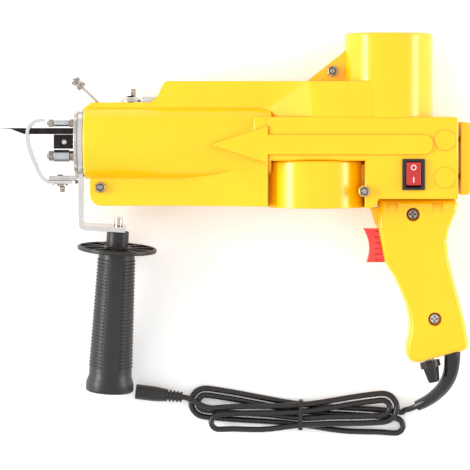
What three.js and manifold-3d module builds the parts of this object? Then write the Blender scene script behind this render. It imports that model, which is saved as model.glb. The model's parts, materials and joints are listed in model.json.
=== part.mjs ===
// Handheld tufting machine: casing, pistol grip, needle drive, front end, side handle, controls and cord.
// Millimetres. x runs from the needle to the rear, y from the side handle up to the motor, and z from the
// far side to the near side. The pieces are made about the parting plane z = 0; the finished group is
// lifted so that the machine lies on its far side with its lowest point on the surface z = 0.

import * as THREE from 'three';
import { mergeVertices } from 'three/addons/utils/BufferGeometryUtils.js';
import Module from 'manifold-3d';

const wasm = await Module();
wasm.setup();

// Fits
const SEAM = 0.3; // between pieces that touch
const RUNNING_GAP = 0.4; // round pieces that move
const OVERRUN = 1; // how far a cut runs past its material
const MERGE_DISTANCE = 2e-5; // vertices closer than this are one

// Casing
const WALL = 2.6;
const EDGE = 1.8; // rounding of the casing's long edges
const DRIVE_Y = 52.3; // line on which the needle travels
const BARREL_RADIUS = 26.5;
const BARREL_FRONT_X = -108;
const CASE_FRONT_X = 13.5; // the barrel widens into the gear case here
const CASE_TOP_Y = 96;
const CASE_HALF_WIDTH = 29;
const CASE_FLOOR_Y = 39.3;
const REAR_X = 159.3;
const BAND_FRONT_X = 24; // raised flat band along both sides
const BAND_TOP_Y = 70.5;
const BAND_BOTTOM_Y = 12;
const BAND_HALF_WIDTH = 30.5;
const BAND_CORNER = 3;
const BAND_STEP_X = 103; // the floor steps down to the bulge here
const BLOCK_FRONT_X = 93; // rear block starts behind the bulge
const CRANK_X = 58.9;
const BULGE_RADIUS = 35.3;
const BULGE_FLOOR_Y = 5.5;
const MOTOR_X = 111;
const MOTOR_HOUSING_RADIUS = 31.6;
const MOTOR_HOUSING_TOP_Y = 130.5;
const WEB_HALF_WIDTH = 10; // upright web along the top of the barrel
const WEB_FLARE_X = 18; // it widens from here
const WEB_FULL_X = 56; // to the gear case's width here
const WEB_TOP_Y = 80.7;
const WEB_NOSE = 5.5; // slanting nose of the web
const SLOPE_FOOT_X = -60.6; // slope from the web up to the case
const SLOPE_KNEE_X = -55.3;
const SLOPE_KNEE_RISE = 3.7;
const SLOPE_TOP_X = -49.8;
const KEEL_FRONT_X = -103.6; // keel below the barrel
const KEEL_FLOOR_Y = 6.6;
const KEEL_CORNER = 9;
const KEEL_HALF_WIDTH = 7;
const KEEL_FLARE_X = -35;
const KEEL_END_HALF_WIDTH = 24;
const KEEL_THROAT_HALF_WIDTH = 10; // into the bulge
const GUSSET_FOOT_X = 50;
const GUSSET_TOP_Y = 118.4;
const GUSSET_TOP_X = 80.4;
const GUSSET_HALF_WIDTH = 5;
const ARROW_TIP_X = -17; // raised arrow on both sides
const ARROW_Y = 50.9;
const ARROW_HEAD_HALF_HEIGHT = 13.2;
const ARROW_SHAFT_HALF_HEIGHT = 7;
const ARROW_END_X = 141;
const ARROW_HEIGHT = 1.5; // above the band
const ARROW_DEPTH = 12; // down to the barrel
const DISC_X = 150; // two round raised discs near the rear edge
const DISC_YS = [54.1, 27.4];
const DISC_RADIUS = 7.4;
const DISC_HEIGHT = 0.8;

// Rear cover
const COVER_GAP = 2.1; // see-through slot between cover and casing
const COVER_THICKNESS = 7.2;
const COVER_TOP_Y = 66.8;
const COVER_BOTTOM_Y = 14.9;
const COVER_HALF_WIDTH = 24;
const COVER_CORNER = 3.4;
const COVER_EDGE = 1;
const COVER_SCREW_RADIUS = 1.7;
const COVER_SCREW_HEAD_RADIUS = 3.2;
const COVER_SCREW_HEAD = 2.2;
const COVER_SCREW_GRIP = 6; // length inside the casing
const COVER_SPACER_RADIUS = 2.6;

// Through bolts of the casing
const BOLT_RADIUS = 2;
const NUT_FLATS = 7;
const NUT_THICKNESS = 3.2;
const BOLT_HEAD = 2.8;
const BOLT_TAIL = 1.2; // thread standing past the nut
const BOSS_RADIUS = 4.2;
const FRONT_BOLT_X = -96;
const FRONT_BOLT_Y = 19.9;
const TOP_BOLT_X = 70.6;
const TOP_BOLT_Y = 103.2;
const REAR_BOLT_X = 92.3;
const REAR_BOLT_Y = 17.7;
const BOLT_SEATS = [
  { name: 'front', x: FRONT_BOLT_X, y: FRONT_BOLT_Y, halfWidth: KEEL_HALF_WIDTH },
  { name: 'top', x: TOP_BOLT_X, y: TOP_BOLT_Y, halfWidth: GUSSET_HALF_WIDTH },
  { name: 'rear', x: REAR_BOLT_X, y: REAR_BOLT_Y, halfWidth: BAND_HALF_WIDTH },
];
const SIDE_REACH = BULGE_RADIUS + MOTOR_HOUSING_RADIUS; // cuts from side to side end beyond every side

// Pistol grip
const GRIP_HALF_WIDTH = 16;
const GRIP_EDGE = 6; // depth of the rounded edge
const GRIP_EDGE_WIDTH = 3.4;
const GRIP_CORNER = 9;
const GRIP_WALL = 2.6;
const GRIP_FRONT_X = 103.2;
const GRIP_REAR_X = 158.3;
const GRIP_BACK_BULGE = 3.3; // the swell under the casing stands out this far
const GRIP_WAIST_X = 152.4;
const GRIP_WAIST_Y = -18.5;
const GRIP_HEEL_X = 168.2;
const GRIP_HEEL_Y = -92;
const GRIP_FOOT_X = 123.3;
const GRIP_FOOT_Y = -96;
const GRIP_SOLE_FRONT_Y = -106.1;
const GRIP_SOLE_REAR_Y = -98.4;
const NECK_DEPTH = 5.6; // narrow neck before the grip
const NECK_HALF_WIDTH = 8;
const NECK_TOP_Y = 5.1;
const NECK_BOTTOM_Y = -9;
const TONGUE_X = 128; // tongue of the casing that the upper screw holds
const TONGUE_HALF_LENGTH = 10;
const TONGUE_HALF_WIDTH = 5;
const TONGUE_BOTTOM_Y = -8;
const UPPER_SCREW_Y = 0.6;
const LOWER_SCREW_X = 143.8;
const LOWER_SCREW_Y = -74.4;
const GRIP_SCREWS = [
  { name: 'upper', x: TONGUE_X, y: UPPER_SCREW_Y, floor: TONGUE_HALF_WIDTH + SEAM },
  { name: 'lower', x: LOWER_SCREW_X, y: LOWER_SCREW_Y, floor: SEAM / 2 },
];
const SCREW_RADIUS = 1.8;
const SCREW_HEAD_RADIUS = 4;
const SCREW_HEAD = 2.4;
const COUNTERBORE_RADIUS = 4.9;
const COUNTERBORE_FLOOR_Z = 8;
const POCKET_XS = [113, 145.4]; // two snap pockets below the casing
const POCKET_WIDTH = 8;
const POCKET_TOP_Y = 8.6;
const POCKET_BOTTOM_Y = -1.5;
const POCKET_DEPTH = 2;

// Needle drive
const CRANK_THROW = 9.5;
const BELT_Y = 24; // underside of the belt
const BELT_WIDTH = 9;
const BELT_THICKNESS = 1.5;
const BELT_TUNNEL_HALF_WIDTH = 12;
const BELT_TUNNEL_REACH = 4.6; // forward of the rear block
const CRANK_PULLEY_RADIUS = 14;
const MOTOR_PULLEY_RADIUS = 6;
const PULLEY_FLANGE = 1;
const CRANK_DISC = 4;
const CRANK_DISC_RADIUS = 18;
const CRANK_PIN_RADIUS = 3;
const ROD_BOTTOM_Y = 44;
const ROD_THICKNESS = 5;
const ROD_EYE_RADIUS = 6.5;
const ROD_HALF_WIDTH = 3;
const AXLE_RADIUS = 4;
const AXLE_BOSS_RADIUS = 9;
const AXLE_BOSS_TOP_Y = 18;
const AXLE_COLLAR_RADIUS = 7;
const AXLE_CAP_RADIUS = 5.5; // keeps the wheel on the axle
const AXLE_CAP = 2;
const MOTOR_RADIUS = 24;
const MOTOR_BOTTOM_Y = 62;
const MOTOR_LENGTH = 60;
const MOTOR_SHAFT_RADIUS = 2.5;
const MOTOR_NOSE_RADIUS = 8;
const MOTOR_NOSE = 4;
const MOTOR_SHELF = 4;
const MOTOR_SHELF_BORE = 16;
const MOTOR_COLLAR_Y = 112;
const CARRIAGE_REAR_X = 6;
const CARRIAGE_LENGTH = 34;
const CARRIAGE_HALF_WIDTH = 9;
const CARRIAGE_TOP_Y = 62;
const WRIST_X = -4;
const WRIST_RADIUS = 3;
const PUSH_ROD_RADIUS = 4.5;
const BUSH_FRONT_X = -76;
const BUSH_LENGTH = 20;
const BUSH_RADIUS = 8;
const BULKHEAD_X = -69;
const BULKHEAD = 4;

// Front end
const BRACKET_THICKNESS = 3.5;
const FLANGE_THICKNESS = 2.6;
const FLANGE_RADIUS = 22.2;
const CLAMP_FRONT_X = -129.6;
const CLAMP_REAR_X = -95;
const CLAMP_BOTTOM_Y = 47.5;
const CLAMP_TOP_Y = 57.6;
const CLAMP_HALF_WIDTH = 5;
const CLAMP_SCREW_X = -122;
const CLAMP_SCREW_RADIUS = 1.2;
const CLAMP_SCREW_HEAD_RADIUS = 1.7;
const CLAMP_SCREW_HEAD = 1.1;
const NEEDLE_HEIGHT = 4.4;
const NEEDLE_HALF_WIDTH = 1.5;
const NEEDLE_REAR_X = -97;
const NEEDLE_TIP_X = -168.6;
const NEEDLE_POINT_X = -161; // where the hair-thin point starts
const NEEDLE_BLADE_X = -151;
const NEEDLE_POINT_HEIGHT = 0.6;
const NEEDLE_GROOVE_HALF_WIDTH = 0.6;
const NEEDLE_GROOVE_DEPTH = 1.4;
const WINDOW_MARGIN = 1; // the clamp and needle pass through a window
const PIN_FRONT_X = -134.6;
const UPPER_PIN = { name: 'upper', y: 65.8, radius: 1.5, sleeve: 2.4, flats: 5.5 };
const LOWER_PIN = { name: 'lower', y: 42.3, radius: 2, sleeve: 4.4, flats: 7 };
const SLEEVE_FRONT_X = -129.8;
const PIN_NUT = 3.2;
const TONGUE_PLATE_TOP_Y = 28.1; // forward tongue of the flange
const TONGUE_PLATE = 3;
const TONGUE_PLATE_FRONT_X = -133.1;
const TONGUE_PLATE_HALF_WIDTH = 9;
const FOOT_BOLT_X = -125.2;
const FOOT_THICKNESS = 2.4;
const FOOT_HALF_WIDTH = 7;
const FOOT_SLOT_HALF_WIDTH = 3.6;
const FOOT_REAR_X = -112.4;
const FOOT_TRAVEL = 8;
const FOOT_WASHER_RADIUS = 5.9;
const FOOT_WASHER = 1.3;
const FOOT_BOLT_HEAD = 4.1;
const FOOT_BOLT_TIP = 0.9;
const FOOT_TOP_X = -136;
const FOOT_TOP_Y = 67.9;
const FOOT_FRONT_X = -148.2; // foremost line of the foot, ahead of the flange
const FOOT_WINDOW_TOP_Y = 65.2;
const FOOT_WINDOW_BOTTOM_Y = 35;

// Side handle and its bracket
const BRACKET_SWING = THREE.MathUtils.degToRad(4.6); // turned about the barrel towards the surface
const RING_RADIUS = 24;
const RING_BORE = 17.4;
const LEG_HALF_WIDTH = 10;
const ARM_Y = -8.6; // middle of the arm at the bend
const ARM_TILT = THREE.MathUtils.degToRad(3.3);
const ARM_LENGTH = 33.5;
const BEND_RADIUS = 5;
const STUD_X = -83.8;
const STUD_RADIUS = 3;
const STUD_TOP = 6.5; // above the arm
const STUD_GRIP = 12; // inside the handle
const STUD_COLLAR_RADIUS = 5; // shoulder under the handle's neck
const HANDLE_LENGTH = 117.4;
const NECK_RADIUS = 8;
const GUARD_RADIUS = 28.7;
const GUARD_POSITION = 11.6; // down from the top of the handle
const GUARD_THICKNESS = 2.8;
const GUARD_RIM = 2.2;
const GUARD_SPOKE_HALF_WIDTH = 0.9;
const GUARD_POCKETS = 10;
const GUARD_POCKET_DEPTH = 1.3;
const GRIP_TOP_RADIUS = 13;
const GRIP_BOTTOM_RADIUS = 15.5;
const FLARE_RADIUS = 17.3;
const FLARE_START = 105.8;
const FLARE_FULL = 111;
const HANDLE_ROUNDING = 1.6;

// Yarn guide and adjuster on top of the web
const GUIDE_FOOT_X = -97.9;
const GUIDE_LENGTH = 25;
const GUIDE_LEAN = THREE.MathUtils.degToRad(46);
const GUIDE_RADIUS = 1.1;
const GUIDE_EYE_AT = 18.5; // along the wire
const GUIDE_EYE_RADIUS = 3;
const GUIDE_EYE_THICKNESS = 1.6;
const GUIDE_NUT_FLATS = 6.6;
const GUIDE_NUT = 3;
const GUIDE_DEPTH = 4; // into the web
const ADJUSTER_X = -74.2;
const ADJUSTER_WASHER_RADIUS = 7.2;
const ADJUSTER_WASHER = 4.2;
const ADJUSTER_HEAD = 5;
const ADJUSTER_DEPTH = 9;
const ADJUSTER_PLATE_FRONT_X = -66.6;
const ADJUSTER_PLATE_LENGTH = 10.6;
const ADJUSTER_PLATE = 4;
const ADJUSTER_PLATE_HALF_WIDTH = 6;

// Rocker switch
const SWITCH_X = 127.4;
const SWITCH_Y = 29.7;
const BEZEL_HALF_WIDTH = 8;
const BEZEL_HALF_HEIGHT = 11;
const BEZEL_HEIGHT = 1.8;
const SWITCH_BODY_HALF_WIDTH = 6.6;
const SWITCH_BODY_HALF_HEIGHT = 9.9;
const SWITCH_DEPTH = 17;
const SWITCH_WELL = 7;
const ROCKER_HALF_WIDTH = 5.1;
const ROCKER_HALF_LENGTH = 8.2;
const ROCKER_RISE = 3.4; // crest above the casing
const ROCKER_TILT = THREE.MathUtils.degToRad(7);
const ROCKER_PIVOT_DEPTH = 2; // below the casing's face
const ROCKER_PIN_RADIUS = 1.2;
const ROCKER_PIN_REACH = 5.9; // half its length
const TERMINAL_LENGTH = 7;
const TERMINAL_HALF_WIDTH = 2.4;
const TERMINAL_HALF_THICKNESS = 0.4;
const TERMINAL_PITCH = 5;

// Trigger
const TRIGGER_TRAVEL = 4.5;
const TRIGGER_HALF_WIDTH = 7.5;
const TRIGGER_TOP_Y = -9.9;
const TRIGGER_BOTTOM_Y = -34;
const TRIGGER_TOP_FRONT_X = 92.9;
const TRIGGER_BOTTOM_FRONT_X = 95.2;
const TRIGGER_HOLLOW = 5; // depth of the finger hollow
const TRIGGER_REAR_X = 108.2;
const TRIGGER_STEM_REAR_X = 114;
const TRIGGER_STEM_HALF_WIDTH = 5;
const TRIGGER_STEM_HALF_HEIGHT = 8;
const TRIGGER_RIBS = 6;
const TRIGGER_RIB_PITCH = 4.1;
const TRIGGER_RIB_LENGTH = 4.6;
const TRIGGER_RIB_HEIGHT = 1.1;
const TRIGGER_RIB_DEPTH = 0.6;
const TRIGGER_RIB_X = 103.6;
const TRIGGER_SWITCH_LENGTH = 18;
const TRIGGER_SWITCH_HALF_HEIGHT = 9;
const TRIGGER_SWITCH_HALF_WIDTH = 7;
const PLUNGER_RADIUS = 2.4;
const PLUNGER_LENGTH = 2;

// Speed control in the grip's sole
const DIAL_X = 140.3;
const DIAL_TILT = THREE.MathUtils.degToRad(13);
const KNOB_LENGTH = 15.5;
const KNOB_SKIRT_RADIUS = 7.4;
const KNOB_SKIRT = 4.4;
const KNOB_TOP_RADIUS = 5.8;
const KNOB_END_RADIUS = 4.1;
const KNOB_FLUTES = 9;
const KNOB_FLUTE_RADIUS = 0.7;
const DIAL_RADIUS = 8;
const DIAL_LENGTH = 9;
const DIAL_NECK_RADIUS = 3.4;
const DIAL_SHAFT_RADIUS = 2.6;
const DIAL_SHAFT = 11;

// Strain relief and cord
const CORD_RADIUS = 2.1;
const RELIEF_TOP_RADIUS = 6.2;
const RELIEF_END_RADIUS = 3.9;
const RELIEF_ROOT = 5; // inside the sole
const RELIEF_BORE = 6; // the cord enters this far
const CORD_STEP = 5.05; // from loop to loop and from layer to layer
const HANK_X = 48.5;
const HANK_Y = -147.3;
const HANK_TURN = THREE.MathUtils.degToRad(-1);
const HANK_FAN = THREE.MathUtils.degToRad(6); // the lower layer is turned back and the upper one on by this
const HANK_LOWER_HALF_SPAN = 70; // from the tie to the middle of each end bend
const HANK_UPPER_HALF_SPAN = 60;
const HANK_END_RADIUS = 10.5;
const HANK_WAIST = 7.5; // half the width between middle lines at the tie
const HANK_RUN_STEPS = 6;
const HANK_BEND_STEPS = 6;
const HANK_CHANGES = 3; // a run is split into thirds for its changes
const HANK_LIFT_REACH = 34; // the tie lifts the loops over this length on both sides
const TIE_THICKNESS = 1.2;
const TIE_LIFT = TIE_THICKNESS + SEAM;
const TIE_WIDTH = 3;
const CONNECTOR_RADIUS = 5.5;
const CONNECTOR_BODY = 22;
const CONNECTOR_RIBS = 4;
const CONNECTOR_RIB_SHARE = 0.6; // rib width as a share of the pitch
const CONNECTOR_NECK_RADIUS = 4.6;
const CONNECTOR_BOOT_RADIUS = 3.8;
const CONNECTOR_GROOVE_RADIUS = 3.1;
const CONNECTOR_MOUTH_RADIUS = 3.3;
const CONNECTOR_MOUTH_DEPTH = 9;
const CONNECTOR_PIN_RADIUS = 0.9;
const CONNECTOR_PIN_RECESS = 1.5;
const CONNECTOR_BORE = 5;

const X_AXIS = new THREE.Vector3(1, 0, 0);
const Y_AXIS = new THREE.Vector3(0, 1, 0);

/** A closed solid, ready for joining and cutting, from a closed geometry. */
function solidOf(shape) {
  if (!shape.isBufferGeometry) {
    return shape;
  }
  const bare = new THREE.BufferGeometry();
  bare.setAttribute('position', shape.getAttribute('position'));
  if (shape.index) {
    bare.setIndex(shape.index);
  }
  const merged = mergeVertices(bare, MERGE_DISTANCE);
  const triangles = [];
  for (let i = 0; i < merged.index.count; i += 3) {
    const [a, b, c] = [0, 1, 2].map((corner) => merged.index.getX(i + corner));
    if (a !== b && b !== c && c !== a) {
      triangles.push(a, b, c);
    }
  }
  return new wasm.Manifold(new wasm.Mesh({
    numProp: 3,
    vertProperties: Float32Array.from(merged.getAttribute('position').array),
    triVerts: Uint32Array.from(triangles),
  }));
}

/** The geometry of a solid, with flat faces. */
function geometryOf(solid) {
  const { vertProperties, triVerts, numProp } = solidOf(solid).getMesh();
  const positions = [];
  for (let i = 0; i < vertProperties.length; i += numProp) {
    positions.push(vertProperties[i], vertProperties[i + 1], vertProperties[i + 2]);
  }
  const geometry = new THREE.BufferGeometry();
  geometry.setAttribute('position', new THREE.Float32BufferAttribute(positions, 3));
  geometry.setIndex(Array.from(triVerts));
  const faceted = geometry.toNonIndexed();
  faceted.computeVertexNormals();
  return faceted;
}

const join = (...shapes) => shapes.map(solidOf).reduce((sum, shape) => sum.add(shape));
const cut = (shape, ...tools) => tools.map(solidOf)
  .reduce((rest, tool) => rest.subtract(tool), solidOf(shape));
const common = (first, second) => solidOf(first).intersect(solidOf(second));

/** A box between two limits along each axis. */
function block([x0, x1], [y0, y1], [z0, z1]) {
  return new THREE.BoxGeometry(x1 - x0, y1 - y0, z1 - z0)
    .translate((x0 + x1) / 2, (y0 + y1) / 2, (z0 + z1) / 2);
}

/** Turns a geometry that stands on y = 0 so that it starts at one point and runs towards another. */
function alongLine(geometry, from, to) {
  const start = new THREE.Vector3(...from);
  const direction = new THREE.Vector3(...to).sub(start).normalize();
  return geometry
    .applyQuaternion(new THREE.Quaternion().setFromUnitVectors(Y_AXIS, direction))
    .translate(start.x, start.y, start.z);
}

/** A round bar between two points; a second radius makes it a cone. */
function bar(radius, from, to, sides = 14, endRadius = radius) {
  const length = new THREE.Vector3(...from).distanceTo(new THREE.Vector3(...to));
  const geometry = new THREE.CylinderGeometry(endRadius, radius, length, sides).translate(0, length / 2, 0);
  return alongLine(geometry, from, to);
}

/** A hexagon bar between two points, such as a nut or a bolt head. */
function hexagon(flats, from, to) {
  return bar(flats / Math.sqrt(3), from, to, 6);
}

/** A turned piece: [radius, height] pairs revolved about the y axis. */
function turned(profile, sides = 24) {
  return new THREE.LatheGeometry(profile.map(([radius, height]) => new THREE.Vector2(radius, height)), sides);
}

/** A closed outline with a rounding radius at each corner: [x, y, radius]; a sharp one for an inset form. */
function roundedShape(corners, inset = 0) {
  const shape = new THREE.Shape();
  corners.forEach(([x, y, rounding = 0], i) => {
    const radius = inset > 0 ? 0 : rounding;
    const corner = new THREE.Vector2(x, y);
    const towards = (other) => new THREE.Vector2(other[0] - x, other[1] - y).setLength(radius).add(corner);
    const start = towards(corners.at(i - 1));
    const end = towards(corners[(i + 1) % corners.length]);
    if (i === 0) {
      shape.moveTo(start.x, start.y);
    } else {
      shape.lineTo(start.x, start.y);
    }
    if (radius > 0) {
      shape.quadraticCurveTo(x, y, end.x, end.y);
    }
  });
  return shape;
}

/** An outline extruded from z0 to z1. */
function plate(shape, [z0, z1], curveSegments = 5) {
  return new THREE.ExtrudeGeometry(shape, { depth: z1 - z0, bevelEnabled: false, curveSegments })
    .translate(0, 0, z0);
}

/** An outline extruded evenly to both sides of the parting plane, with rounded long edges. */
function slab(shape, halfWidth, inset, { edge = inset > 0 ? EDGE / 3 : EDGE, edgeWidth = edge,
  segments = inset > 0 ? 1 : 2, curveSegments = 4 } = {}) {
  const half = halfWidth - inset;
  return new THREE.ExtrudeGeometry(shape, {
    depth: 2 * (half - edge),
    bevelThickness: edge,
    bevelSize: edgeWidth,
    bevelOffset: -edgeWidth - inset,
    bevelSegments: segments,
    curveSegments,
  }).translate(0, 0, edge - half);
}

/** A named mesh of one sub-part. */
function part(name, shape, material) {
  const mesh = new THREE.Mesh(geometryOf(shape), material);
  mesh.name = name;
  return mesh;
}

// Materials
const finish = (color, roughness, metalness) => new THREE.MeshStandardMaterial(
  { color, roughness, metalness });
const YELLOW_PLASTIC = finish('#ffdf1f', 0.38, 0);
const BLACK_PLASTIC = finish('#2a2627', 0.5, 0);
const RED_PLASTIC = finish('#f0474b', 0.4, 0);
const ROCKER_RED = finish('#d3222b', 0.3, 0);
const STEEL = finish('#c9c6c3', 0.3, 1);
const ALUMINIUM = finish('#b9bcc0', 0.4, 1);
const BLACK_STEEL = finish('#242126', 0.45, 1);
const BRONZE = finish('#a8763e', 0.4, 1);
const MOTOR_STEEL = finish('#8d8f92', 0.45, 1);
const BLACK_RUBBER = finish('#2e2b2c', 0.6, 0);

// Casing

/** The casing's solid form, or with an inset the hollow inside it. */
function casingForm(inset) {
  const barrel = turned([
    [0, BARREL_FRONT_X + inset],
    [BARREL_RADIUS - EDGE - inset, BARREL_FRONT_X + inset],
    [BARREL_RADIUS - inset, BARREL_FRONT_X + EDGE + inset],
    [BARREL_RADIUS - inset, BAND_FRONT_X + WALL - inset],
    [0, BAND_FRONT_X + WALL - inset],
  ]).rotateZ(-Math.PI / 2).translate(0, DRIVE_Y, 0);
  const webTop = roundedShape([
    [BARREL_FRONT_X, DRIVE_Y],
    [MOTOR_X, DRIVE_Y],
    [MOTOR_X, CASE_TOP_Y],
    [SLOPE_TOP_X, CASE_TOP_Y, WALL],
    [SLOPE_KNEE_X, WEB_TOP_Y + SLOPE_KNEE_RISE],
    [SLOPE_FOOT_X, WEB_TOP_Y],
    [BARREL_FRONT_X + WEB_NOSE, WEB_TOP_Y],
    [BARREL_FRONT_X, WEB_TOP_Y - WEB_NOSE],
  ], inset);
  const gearCase = roundedShape([
    [CASE_FRONT_X, CASE_FLOOR_Y],
    [MOTOR_X, CASE_FLOOR_Y],
    [MOTOR_X, BAND_TOP_Y - inset],
    [CASE_FRONT_X, BAND_TOP_Y - inset],
  ]);
  const band = roundedShape([
    [BAND_FRONT_X, CASE_FLOOR_Y],
    [BLOCK_FRONT_X, CASE_FLOOR_Y],
    [BLOCK_FRONT_X, BULGE_FLOOR_Y],
    [BAND_STEP_X - BAND_CORNER, BULGE_FLOOR_Y, BAND_CORNER],
    [BAND_STEP_X, BAND_BOTTOM_Y],
    [REAR_X, BAND_BOTTOM_Y],
    [REAR_X, BAND_TOP_Y, BAND_CORNER],
    [BAND_FRONT_X, BAND_TOP_Y],
  ], inset);
  const bulge = turned([
    [0, BULGE_FLOOR_Y + inset],
    [BULGE_RADIUS - inset, BULGE_FLOOR_Y + inset],
    [BULGE_RADIUS - inset, CASE_FLOOR_Y - EDGE - inset],
    [BULGE_RADIUS - EDGE - inset, CASE_FLOOR_Y - inset],
    [0, CASE_FLOOR_Y - inset],
  ], 36).translate(CRANK_X, 0, 0);
  const motorHousing = turned([
    [0, CASE_FLOOR_Y + inset],
    [MOTOR_HOUSING_RADIUS - inset - WALL, CASE_FLOOR_Y + inset],
    [MOTOR_HOUSING_RADIUS - inset - WALL, BAND_TOP_Y - WALL - inset],
    [MOTOR_HOUSING_RADIUS - inset, BAND_TOP_Y - inset],
    [MOTOR_HOUSING_RADIUS - inset, MOTOR_HOUSING_TOP_Y - EDGE - inset],
    [MOTOR_HOUSING_RADIUS - EDGE - inset, MOTOR_HOUSING_TOP_Y - inset],
    [0, MOTOR_HOUSING_TOP_Y - inset],
  ], 36).translate(MOTOR_X, 0, 0);
  return join(
    barrel,
    flared(slab(webTop, CASE_HALF_WIDTH, inset), [BARREL_FRONT_X, WEB_FLARE_X, WEB_FULL_X, MOTOR_X],
      WEB_HALF_WIDTH - inset, CASE_HALF_WIDTH - inset),
    slab(gearCase, CASE_HALF_WIDTH, inset),
    slab(band, BAND_HALF_WIDTH, inset),
    keelForm(inset),
    bulge,
    motorHousing,
  );
}

/** A form cut to a plan that keeps one half width, widens between the two middle places and keeps on. */
function flared(form, [frontX, flareX, fullX, rearX], half, fullHalf) {
  const plan = new THREE.Shape([
    [frontX, -half], [flareX, -half], [fullX, -fullHalf], [rearX, -fullHalf],
    [rearX, fullHalf], [fullX, fullHalf], [flareX, half], [frontX, half],
  ].map(([x, z]) => new THREE.Vector2(x, z)));
  return common(form, plate(plan, [0, CASE_TOP_Y + OVERRUN]).rotateX(-Math.PI / 2));
}

/** The keel below the barrel: a side outline crossed with a plan that flares towards the gear case. */
function keelForm(inset) {
  const side = roundedShape([
    [KEEL_FRONT_X, DRIVE_Y - BARREL_RADIUS / 2],
    [KEEL_FRONT_X, KEEL_FLOOR_Y, KEEL_CORNER],
    [CRANK_X, KEEL_FLOOR_Y],
    [CRANK_X, DRIVE_Y - BARREL_RADIUS / 2],
  ], inset);
  const half = KEEL_HALF_WIDTH - inset;
  const endHalf = KEEL_END_HALF_WIDTH - inset;
  const throatHalf = KEEL_THROAT_HALF_WIDTH - inset;
  const plan = roundedShape([
    [KEEL_FRONT_X - OVERRUN, -half],
    [KEEL_FLARE_X, -half],
    [BAND_FRONT_X - inset, -endHalf],
    [BAND_FRONT_X - inset, -throatHalf],
    [CRANK_X, -throatHalf],
    [CRANK_X, throatHalf],
    [BAND_FRONT_X - inset, throatHalf],
    [BAND_FRONT_X - inset, endHalf],
    [KEEL_FLARE_X, half],
    [KEEL_FRONT_X - OVERRUN, half],
  ]);
  const planPrism = plate(plan, [0, DRIVE_Y]).rotateX(-Math.PI / 2);
  return common(slab(side, KEEL_END_HALF_WIDTH + EDGE, inset), planPrism);
}

/** The arrow that stands out on both sides of the casing. */
function arrowForm() {
  const shape = roundedShape([
    [ARROW_TIP_X, ARROW_Y],
    [BAND_FRONT_X, ARROW_Y - ARROW_HEAD_HALF_HEIGHT],
    [BAND_FRONT_X, ARROW_Y - ARROW_SHAFT_HALF_HEIGHT],
    [ARROW_END_X, ARROW_Y - ARROW_SHAFT_HALF_HEIGHT, ARROW_SHAFT_HALF_HEIGHT],
    [ARROW_END_X, ARROW_Y + ARROW_SHAFT_HALF_HEIGHT, ARROW_SHAFT_HALF_HEIGHT],
    [BAND_FRONT_X, ARROW_Y + ARROW_SHAFT_HALF_HEIGHT],
    [BAND_FRONT_X, ARROW_Y + ARROW_HEAD_HALF_HEIGHT],
  ]);
  const top = BAND_HALF_WIDTH + ARROW_HEIGHT;
  return join(plate(shape, [top - ARROW_DEPTH, top]), plate(shape, [-top, ARROW_DEPTH - top]));
}

/** The passage of the belt from the bulge to the rear block, or with a wall its casing. */
function beltTunnel(wall) {
  return block([BLOCK_FRONT_X - BELT_TUNNEL_REACH, BLOCK_FRONT_X + WALL + SEAM],
    [BELT_Y - 2 * PULLEY_FLANGE - wall, BELT_Y + BELT_WIDTH + PULLEY_FLANGE + wall],
    [-BELT_TUNNEL_HALF_WIDTH - wall, BELT_TUNNEL_HALF_WIDTH + wall]);
}

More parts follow.
